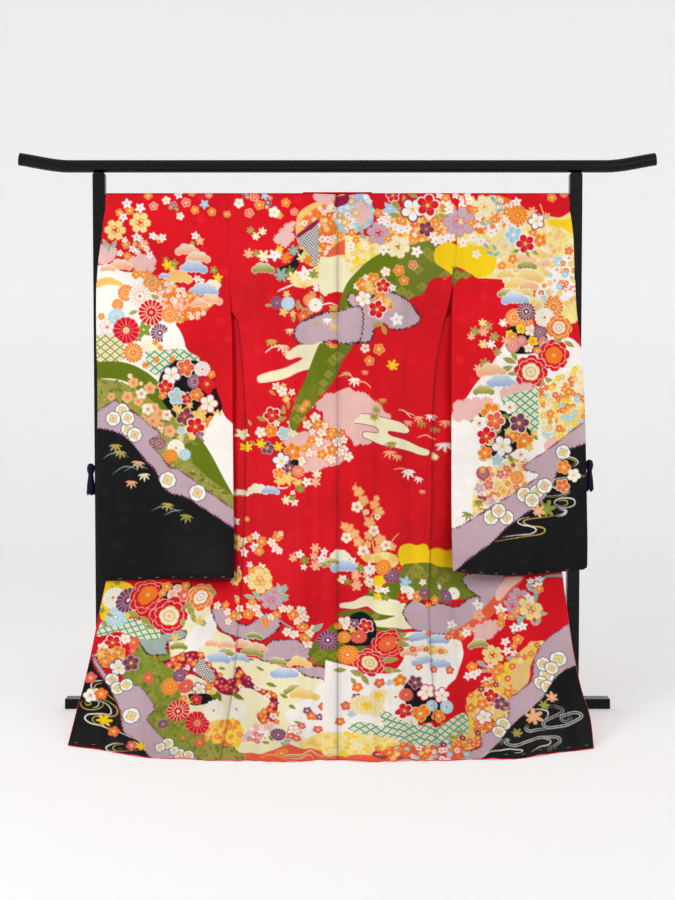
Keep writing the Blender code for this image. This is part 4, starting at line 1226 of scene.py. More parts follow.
# Shaders
class Wire:
    """A shader value. Arithmetic on it adds maths nodes."""

    def __init__(self, look, socket):
        self.look = look
        self.socket = socket

    def maths(self, kind, *values):
        return self.look.node("ShaderNodeMath", {"operation": kind}, dict(enumerate(values)))

    def __add__(self, other):
        return self.maths("ADD", self, other)

    def __sub__(self, other):
        return self.maths("SUBTRACT", self, other)

    def __rsub__(self, other):
        return self.maths("SUBTRACT", other, self)

    def __mul__(self, other):
        return self.maths("MULTIPLY", self, other)

    def clamp(self):
        return self.look.node("ShaderNodeClamp", {}, {0: self})

    __radd__ = __add__
    __rmul__ = __mul__


class Look:
    """One material and its shader."""

    def __init__(self, name, **constants):
        self.material = bpy.data.materials.new(name)
        self.material.use_nodes = True
        self.tree = self.material.node_tree
        self.shader = next(n for n in self.tree.nodes if n.bl_idname == "ShaderNodeBsdfPrincipled")
        for key, value in constants.items():
            self.shader.inputs[key.replace("_", " ")].default_value = value

    def node(self, kind, settings, sockets, out=0):
        node = self.tree.nodes.new(kind)
        for key, value in settings.items():
            setattr(node, key, value)
        for key, value in sockets.items():
            if isinstance(value, Wire):
                self.tree.links.new(value.socket, node.inputs[key])
            else:
                node.inputs[key].default_value = value
        return Wire(self, node.outputs[out])

    def feed(self, **wires):
        for key, wire in wires.items():
            self.tree.links.new(wire.socket, self.shader.inputs[key.replace("_", " ")])
        return self.material

    def mix(self, share, a, b):
        """Between two colours."""
        return self.node("ShaderNodeMix", {"data_type": "RGBA"}, {0: share, 6: a, 7: b}, 2)

    def bump(self, height):
        return self.node("ShaderNodeBump", {}, {"Strength": 1.0, "Distance": 1.0, "Height": height})

    def noise(self, scale, detail, where):
        return self.node("ShaderNodeTexNoise", {}, {"Scale": scale, "Detail": detail, "Vector": where})

    def silk_place(self):
        """The place on the flat silk."""
        return self.node("ShaderNodeUVMap", {"uv_map": "flat"}, {})

    def own_place(self):
        """The place in the object's own frame."""
        return self.node("ShaderNodeTexCoord", {}, {}, 3)


def linear(rgb):
    """An sRGB colour for a shader."""
    c = np.array(rgb, float)
    return (*np.where(c <= 0.04045, c / 12.92, ((c + 0.055) / 1.055) ** 2.4), 1.0)


def printed_silk():
    """Figured silk with the print, tied dots where the print asks for them, and a soft gleam."""
    look = Look("printed silk", Specular_IOR_Level=0.12, Sheen_Weight=0.02, Sheen_Roughness=0.5)
    dye = look.node("ShaderNodeVertexColor", {"layer_name": "print"}, {})
    tied = look.node("ShaderNodeVertexColor", {"layer_name": "print"}, {}, 1)
    flat = look.silk_place()
    sockets = {"Vector": flat, "Angle": np.pi / 4}
    slant = look.node("ShaderNodeVectorRotate", {"rotation_type": "Z_AXIS"}, sockets)
    sockets = {"Vector": slant, "Scale": 270.0, "Randomness": 0.12}
    dots = look.node("ShaderNodeTexVoronoi", {"feature": "F1"}, sockets)
    ring = (1.0 - (dots - 0.26) * 5.0).clamp() * ((dots - 0.08) * 12.0).clamp()
    light = look.mix(tied * ring * 0.35, dye, linear((0.98, 0.95, 0.94)))
    deep = look.mix(0.6, dye, linear((0.62, 0.10, 0.22)))
    spotted = look.mix(tied * (dots - 0.36).clamp() * 2.4, light, deep)
    slub = look.noise(900.0, 2.0, flat)
    cloudy = look.noise(5.0, 2.0, flat)
    tone = look.mix((0.62 - cloudy).clamp() * 0.55 + slub * 0.06, spotted, linear((0.02, 0.0, 0.01)))
    weave = look.noise(1500.0, 1.0, flat)
    soft = look.noise(55.0, 3.0, flat)
    height = weave * 0.00006 + soft * 0.0007 - tied * dots * 0.0009
    return look.feed(Base_Color=tone, Roughness=0.50 + soft * 0.14, Normal=look.bump(height))


def red_lining():
    look = Look("red lining silk", Specular_IOR_Level=0.3, Sheen_Weight=0.15)
    flat = look.silk_place()
    soft = look.noise(40.0, 3.0, flat)
    tone = look.mix(soft, linear((0.80, 0.05, 0.10)), linear((0.92, 0.10, 0.15)))
    return look.feed(Base_Color=tone, Roughness=0.5 + soft * 0.15, Normal=look.bump(soft * 0.0006))


def black_lacquer():
    look = Look("black lacquer", Specular_IOR_Level=0.14, Coat_Weight=0.12, Coat_Roughness=0.15, Metallic=0.0)
    place = look.own_place()
    cloudy = look.noise(9.0, 3.0, place)
    fine = look.noise(160.0, 2.0, place)
    tone = look.mix(cloudy, linear((0.008, 0.007, 0.008)), linear((0.022, 0.020, 0.022)))
    return look.feed(Base_Color=tone, Roughness=0.22 + fine * 0.10, Normal=look.bump(cloudy * 0.0004))


def purple_cord():
    look = Look("purple tassel silk", Specular_IOR_Level=0.12)
    place = look.own_place()
    fine = look.noise(700.0, 2.0, place)
    tone = look.mix(fine, linear((0.030, 0.010, 0.110)), linear((0.130, 0.070, 0.260)))
    return look.feed(Base_Color=tone, Roughness=0.5 + fine * 0.2, Normal=look.bump(fine * 0.0005))


def basting_thread():
    look = Look("basting thread", Specular_IOR_Level=0.3)
    place = look.own_place()
    fine = look.noise(1500.0, 1.0, place)
    tone = look.mix(fine, linear((0.72, 0.71, 0.68)), linear((0.88, 0.87, 0.84)))
    return look.feed(Base_Color=tone, Roughness=0.55 + fine * 0.2)


# The print, in millimetres on flat silk
LEFT_SLEEVE = """
patch white: -667 185, -619 190, -583 204, -531 211, -485 245, -442 281, -398 315, -433 341, -440 350,
 -410 417, -377 445, -334 545, -308 598, -280 646, -276 838, -374 734, -502 593, -668 533
ground
kanoko pink: -640 165 21, -627 158 22, -644 145 14, -616 152 16
kanoko pink: -554 178 16, -535 175 20, -511 178 17, -533 191 16, -508 195 11, -544 193 11
kanoko pink: -407 310 13, -390 306 15, -373 299 15, -357 297 10, -399 324 10
band honey/cream: -662 241 8.7, -627 229 10, -591 238 5.2
pine peach/white: -591 187 32, -626 195 21
tied-flower pale_yellow/orange: -538 71 30, -606 91 30
plum orange/honey/cream: -517 -4 12, -397 -12 11, -389 36 12, -343 41 12, -302 47 10, -594 44 11,
 -566 38 12, -576 131 12, -535 134 10, -573 162 11, -484 116 12, -549 212 13, -529 212 12, -514 216 11,
 -645 326 10
plum white/coral/honey: -467 10 13, -429 53 12, -593 154 10, -520 142 10, -536 118 8.7
plum coral/white/cream: -501 26 12, -413 16 13, -351 -6 10
plum plum/white/honey: -447 23 10
star olive/cream: -455 30 7.8, -438 35 7, -396 128 10, -446 182 15, -338 199 13, -468 172 10
star sky/white: -363 20 15
star white/coral: -434 -6 14, -574 19 16, -538 31 16, -584 56 14, -547 111 15, -504 107 12, -580 118 10,
 -558 142 13, -512 159 13, -545 151 10, -477 112 13, -496 110 10, -388 106 13, -384 223 12, -371 229 10,
 -329 245 10, -526 130 11
star peach/cream: -376 120 14, -524 126 10, -552 129 8.7
star yellow/cream: -464 186 16, -327 220 15, -450 197 11
leaf sage/cream: -633 127 14 60, -610 131 15 -60, -624 141 14 95
pine peach/white: -410 146 33, -380 166 33
pine blue/white: -393 193 38
pine honey/peach: -435 220 39
pine cream/white: -341 237 22
pine blue/white: -366 255 40, -472 216 15
mass orange/peach/white/pink/honey/orange/white 0.0135 5 plum/star/cherry 0.05: -489 228, -459 232,
 -416 255, -381 266, -347 288, -372 327, -416 337, -450 336, -472 297, -493 271
pine peach/cream: -346 281 32, -377 291 24
mum orange/cream/honey: -577 262 23, -507 237 24, -600 294 16
leaf olive/cream: -499 273 15 30, -557 315 15 -20, -490 351 17 10, -610 395 17 60, -566 395 15 -20,
 -504 228 11 10, -477 246 10 40, -433 330 13 60
mum white/peach/coral: -539 271 31
mum scarlet/cream/honey: -508 315 35
mum orange/cream/honey: -458 321 23
mum sky/white/honey: -603 328 24
star leaf/cream: -529 362 24, -544 384 13
plum white/pink/coral: -629 355 21
rose-mum red/white/honey: -577 364 37
mum plum/white/white: -485 371 25
patch cream: -667 376, -619 377, -588 397, -577 428, -599 452, -668 452
lattice green 0.027 0.0026 0 coral
patch cream: -526 421, -472 417, -429 415, -379 437, -394 450, -434 452, -473 487, -496 486, -518 467
lattice teal 0.027 0.0032 0 coral
pine cream/white: -512 406 35
patch white: -478 375, -440 352, -416 402, -433 410, -472 402
maple orange/honey: -497 398 11 10, -485 412 10 60, -451 444 12 20, -494 446 11 -30, -526 460 12 40
mum orange/cream/honey: -558 425 27
band green/green: -668 472 22, -603 473 24, -558 486 25, -514 519 27, -481 562 23, -433 619 17
patch olive: -668 494, -594 504, -536 532, -489 571, -442 605, -399 658, -372 708, -286 796, -285 861,
 -372 796, -441 746, -490 702, -515 669, -490 647, -533 610, -563 579, -611 560, -669 590
mass olive/moss/olive/leaf 0.013 5 leaf/star 0.25
leaf moss/olive: -637 506 11 20, -619 528 11 -30, -594 527 12 40, -646 532 10 80, -607 553 10 10,
 -451 672 13 20, -407 706 12 -20
plum peach/honey/coral: -558 506 15, -513 522 17, -574 546 16, -545 557 13, -502 576 15, -485 593 15,
 -619 545 11
plum white/honey/coral: -536 537 16, -520 579 17, -467 597 15, -567 488 7, -537 509 6.1
patch black: -442 445, -377 449, -343 480, -329 532, -316 576, -347 607, -395 620, -433 610, -469 571,
 -489 528, -481 480
plum coral/cream/honey: -415 466 26
mum white/pink/coral: -370 470 22
plum white/plum/honey: -454 486 27
mum plum/white/orange: -390 504 20
plum scarlet/red/honey: -357 510 27
plum scarlet/cream/honey: -470 519 23
plum sky/white/honey: -440 544 24
plum scarlet/white/honey: -411 550 18
plum orange/honey/cream: -385 540 18, -345 484 11, -478 542 11
plum white/scarlet/honey: -353 564 27
star honey/cream: -378 594 23, -330 593 15, -442 575 13, -404 569 11
plum peach/honey/coral: -505 612 17, -459 639 17, -485 623 11, -532 604 10
plum white/honey/coral: -518 579 17, -467 594 15, -486 636 10
plum plum/honey/orange: -418 599 27
star honey/cream: -373 593 19, -434 580 15, -399 653 13, -333 622 12, -364 641 11, -429 657 12
plum scarlet/cream/honey: -389 627 28
plum orange/honey/cream: -348 616 18
plum sky/white/honey: -427 638 13
mum plum/white/white: -375 656 15
patch green: -395 664, -370 666, -286 806, -286 813, -346 773, -395 728, -421 705, -429 684
leaf leaf/moss: -392 673 13 20, -402 715 12 60, -407 697 11 -20
mum plum/cream/honey: -488 673 19
mum white/cream/coral: -442 685 24
mum sky/white/honey: -418 703 16
mum orange/honey/honey: -456 708 20
star leaf/cream: -450 732 15, -432 723 10
leaf moss/olive: -397 755 13 20, -371 773 13 -20, -337 791 11 40, -308 808 15 10, -372 760 10 60
patch white: -370 657, -334 592, -316 610, -276 659, -276 815, -294 799
patch black: -669 619, -625 635, -594 646, -563 669, -538 701, -520 723, -498 745, -481 784, -458 807,
 -415 819, -371 847, -318 879, -271 902, -263 1069, -671 1079
ground
tied-patch lilac/plum: -673 593, -650 582, -611 558, -589 570, -558 588, -515 622, -488 646, -515 667,
 -490 701, -459 740, -439 743, -397 772, -372 793, -271 867, -270 907, -318 879, -371 846, -415 818,
 -458 807, -481 784, -498 745, -520 723, -538 701, -563 669, -594 646, -625 635, -673 624
tile honey: -589 582 19 10, -574 634 18 8, -465 773 23 20
tile peach: -614 605 20 8, -574 603 19 30, -555 649 20 20, -383 808 23 25
bamboo gold: -608 675 21 0, -593 693 20 8, -465 836 21 8
bamboo peach: -545 721 22 8, -564 775 20 4
bamboo cream: -530 755 20 -4
bamboo olive: -412 867 22 10
stream sage 0 0: -642 715 1, -623 702 1, -597 699 1, -570 711 1
stream sage 0 0: -617 757 1, -589 738 1, -565 737 1, -550 745 1
stream sage 0 0: -586 750 1, -555 734 1, -534 736 1, -519 743 1
stream sage 0 0: -510 857 1, -485 846 1, -458 848 1, -432 861 1
stream sage 0 0: -474 869 1, -449 857 1, -423 855 1
"""
RIGHT_SLEEVE = """
patch white: 454 401, 416 464, 379 509, 348 555, 317 591, 297 646, 295 960, 386 918, 477 828, 569 736,
 687 556, 659 401, 545 373
patch pale_yellow: 310 116, 342 38, 375 14, 432 -5, 496 28, 548 46, 603 57, 658 59, 659 329, 585 320,
 545 319, 513 283, 478 278, 460 238, 434 220, 379 220, 352 179
ground
mass pale_yellow/cream/honey/white/pale_yellow/peach 0.015 8 plum/star/round 0.0: 370 121, 415 116,
 478 127, 538 117, 585 75, 649 104, 659 293, 614 310, 550 310, 513 283, 469 280, 460 229, 389 213
patch yellow: 570 66, 588 62, 612 64, 644 61, 649 104, 613 84, 580 77
patch orange: 333 -5, 388 9, 432 -5, 491 18, 521 60, 496 85, 455 80, 415 103, 370 89, 342 48
mass orange/honey/coral/white/peach/white 0.015 9 plum/star/cherry 0.0
patch yellow: 313 130, 339 124, 380 134, 416 135, 429 157, 434 185, 416 212, 384 220, 370 213, 344 197,
 313 179
patch moss: 313 188, 335 199, 370 213, 335 224, 318 242, 311 247
nest gold: 328 213 13, 351 212 13
pine honey/cream: 473 184 41, 522 219 41, 492 238 36, 539 157 36, 460 212 27, 504 260 27
pine peach/cream: 512 170 32, 522 242 27, 580 181 27
star white/coral: 338 25 15, 361 11 14, 384 54 15, 433 23 14, 460 55 14, 469 77 16, 419 98 16,
 391 121 15, 371 111 14, 343 125 15, 489 14 15, 355 -5 12, 440 80 12, 379 156 14, 623 180 15,
 633 202 14, 324 8 12, 347 75 12
tied-flower lilac/rose: 336 68 42
tied-flower cream/honey: 401 26 33
tied-flower cream/honey: 456 137 24
leaf sage/cream: 424 5 14 60, 438 18 14 20, 442 37 13 -20, 406 134 14 50, 415 152 14 10, 433 157 14 -30,
 428 139 13 70, 397 73 14 20, 420 70 13 -20
mum orange/honey/honey: 491 51 27
plum orange/honey/cream: 585 2 13, 478 170 14, 449 188 12, 462 41 13, 428 62 12, 552 119 19, 532 99 13,
 375 35 11, 365 70 11
plum coral/cream/honey: 618 -8 10, 544 264 14, 631 148 14
plum sky/white/white: 480 104 26
plum scarlet/white/honey: 512 128 28
leaf leaf/cream: 539 153 13 30, 487 148 13 -20, 518 156 12 60
plum white/plum/honey: 542 67 24
maple peach/cream: 531 41 14 20, 571 55 12 -20
twig honey: 553 21 1.8, 558 37 1.8, 562 48 1.8
pine olive/cream: 517 187 28, 461 263 25
pine blue/white: 485 278 38, 627 238 27, 606 220 18
patch white: 580 171, 614 162, 645 179, 648 256, 623 283, 585 279, 558 284, 539 265, 567 229, 580 202
mass orange/white/coral/white/sky/honey 0.017 18 plum/cherry/star 0.1
mum orange/cream/honey: 590 301 27, 483 329 24, 512 346 23
mum plum/cream/white: 515 313 25
mum white/cream/coral: 565 329 27
patch black: 461 361, 488 352, 541 364, 573 382, 564 418, 515 428, 470 423, 456 392
plum yellow/honey/orange: 501 360 14, 533 394 15, 470 374 12
plum white/coral/honey: 527 364 18, 522 412 14
mum plum/cream/white: 552 369 18
mum rose/cream/cream: 479 405 19, 502 393 15, 562 397 15
plum orange/honey/cream: 479 381 13, 545 419 11
peony orange/cream/white: 605 356 35
maple olive/cream: 375 367 15 10, 409 354 14 60, 428 383 15 20, 438 424 14 -20, 402 455 16 10
maple peach/cream: 398 369 15 30, 366 382 12 0, 385 470 15 20, 460 392 14 10
maple pale_yellow/cream: 395 344 13 60, 398 403 15 20
maple white/honey: 418 403 15 50, 452 345 14 20
peony scarlet/cream/orange: 591 432 44
peony scarlet/white/cream: 528 477 47
leaf olive/cream: 470 446 21 20, 461 469 21 -20, 483 433 18 60, 582 505 22 40, 563 518 21 80,
 633 401 18 30, 604 391 15 -30, 478 482 15 0
pine peach/cream: 421 475 40
patch white: 389 515, 425 490, 470 491, 496 513, 478 536, 434 560, 380 564, 357 554
pine blue/white: 448 505 41
pine olive/cream: 400 528 30
patch white: 637 437, 667 446, 671 491, 643 482, 614 477
kanoko pink: 462 537 18, 488 527 20, 511 522 15, 522 519 12
kanoko pink: 335 573 19, 357 568 18, 380 566 20, 408 565 20, 430 578 16, 330 596 18, 362 591 20,
 389 586 18
patch cream: 447 550, 483 536, 524 527, 548 527, 548 636, 514 645, 488 618, 457 573
lattice teal 0.027 0.0032 0 coral
patch cream: 548 522, 614 486, 669 464, 688 646, 638 672, 606 690, 556 645
mass orange/honey/sky/yellow/coral/cream 0.017 12 plum/cherry/star 0.1
plum orange/honey/cream: 633 532 14, 582 591 12
patch pale_yellow: 372 796, 397 754, 441 729, 518 714, 520 789, 474 812, 422 854, 385 873, 368 851
mass pink/orange/white/honey/wine/cream/coral 0.015 13 plum/cherry/star/round 0.05
mum wine/cream/honey: 398 754 19
plum lilac/white/honey: 388 795 16, 422 831 12
plum rose/cream/honey: 413 786 16, 446 757 14
mum orange/cream/honey: 492 766 19
plum honey/cream/orange: 386 837 15, 455 803 13
patch white: 518 710, 558 682, 559 697, 521 737, 558 756, 520 784
patch pink: 564 673, 600 649, 604 664, 571 691
patch pale_yellow: 603 599, 678 563, 676 613, 626 650, 599 660
mass yellow/honey/orange/sky/cream 0.018 15 plum/star 0.1
patch black: 387 590, 425 581, 470 590, 525 636, 524 664, 488 692, 443 710, 397 707, 393 655
leaf leaf/olive: 461 599 15 20, 436 641 15 -20, 451 710 14 10, 474 714 15 60, 397 716 12 20,
 374 614 14 10, 539 654 14 40
plum orange/honey/cream: 418 586 27, 404 699 21, 511 666 26, 479 652 20, 397 744 9, 503 618 11
plum coral/white/honey: 431 611 28
plum white/cream/coral: 388 618 22, 471 574 18, 502 703 19
plum plum/cream/honey: 497 617 30
plum scarlet/white/honey: 407 653 28
plum white/plum/honey: 451 680 31
plum sky/white/honey: 437 719 18
star honey/cream: 466 640 12, 420 669 11, 525 684 14, 539 645 11
bamboo leaf: 358 862 21 20, 386 828 18 0, 408 851 17 10
patch black: 692 665, 642 682, 594 738, 562 812, 525 850, 478 868, 409 919, 338 963, 272 1001, 272 1064,
 703 1073
tied-patch lilac/plum: 701 595, 647 636, 576 691, 511 737, 553 757, 530 780, 464 822, 395 864, 338 898,
 297 922, 295 1023, 318 1013, 360 981, 426 937, 459 905, 501 873, 558 831, 590 775, 626 692, 647 683,
 701 658
tile honey: 618 697 20 20, 512 813 21 45, 546 805 19 45, 420 874 21 45, 463 876 20 45
tile peach: 533 828 20 45, 567 789 21 30, 441 857 20 45
stream white/gold 4.5 1.2: 604 713 1, 628 711 1, 648 716 1.1, 657 725 1.1, 645 735 1
stream gold/white 4.5 1.1: 681 762 0.8, 645 766 1, 608 770 1, 591 777 1, 590 790 1, 608 795 1,
 629 799 1, 633 807 1, 612 816 1, 565 819 0.8
stream gold 0 1.4: 605 832 1, 617 828 1, 629 831 1, 629 840 1, 615 845 1
stream white 0 1.3: 615 845 1, 597 840 1, 598 829 1, 621 822 1, 647 826 1, 650 840 1, 632 848 1,
 596 847 1
stream white/white 4 1.2: 607 851 1, 626 857 1, 620 867 1, 602 871 1
stream gold 0 1.7: 603 870 1, 561 875 1, 519 881 1, 510 889 1, 528 899 1, 557 902 1, 569 910 1,
 558 921 1, 513 928 1, 431 940 1
stream white 0 1.4: 525 874 1, 501 880 1, 494 889 1, 507 896 1, 531 900 1, 545 910 1, 528 921 1,
 489 924 1, 452 929 1
plum orange/honey/cream: 620 738 20
plum white/cream/honey: 648 760 19
plum coral/cream/honey: 617 789 20
maple leaf/pale_yellow: 572 854 27 20
maple peach/pale_yellow: 549 858 21 50
ground
"""
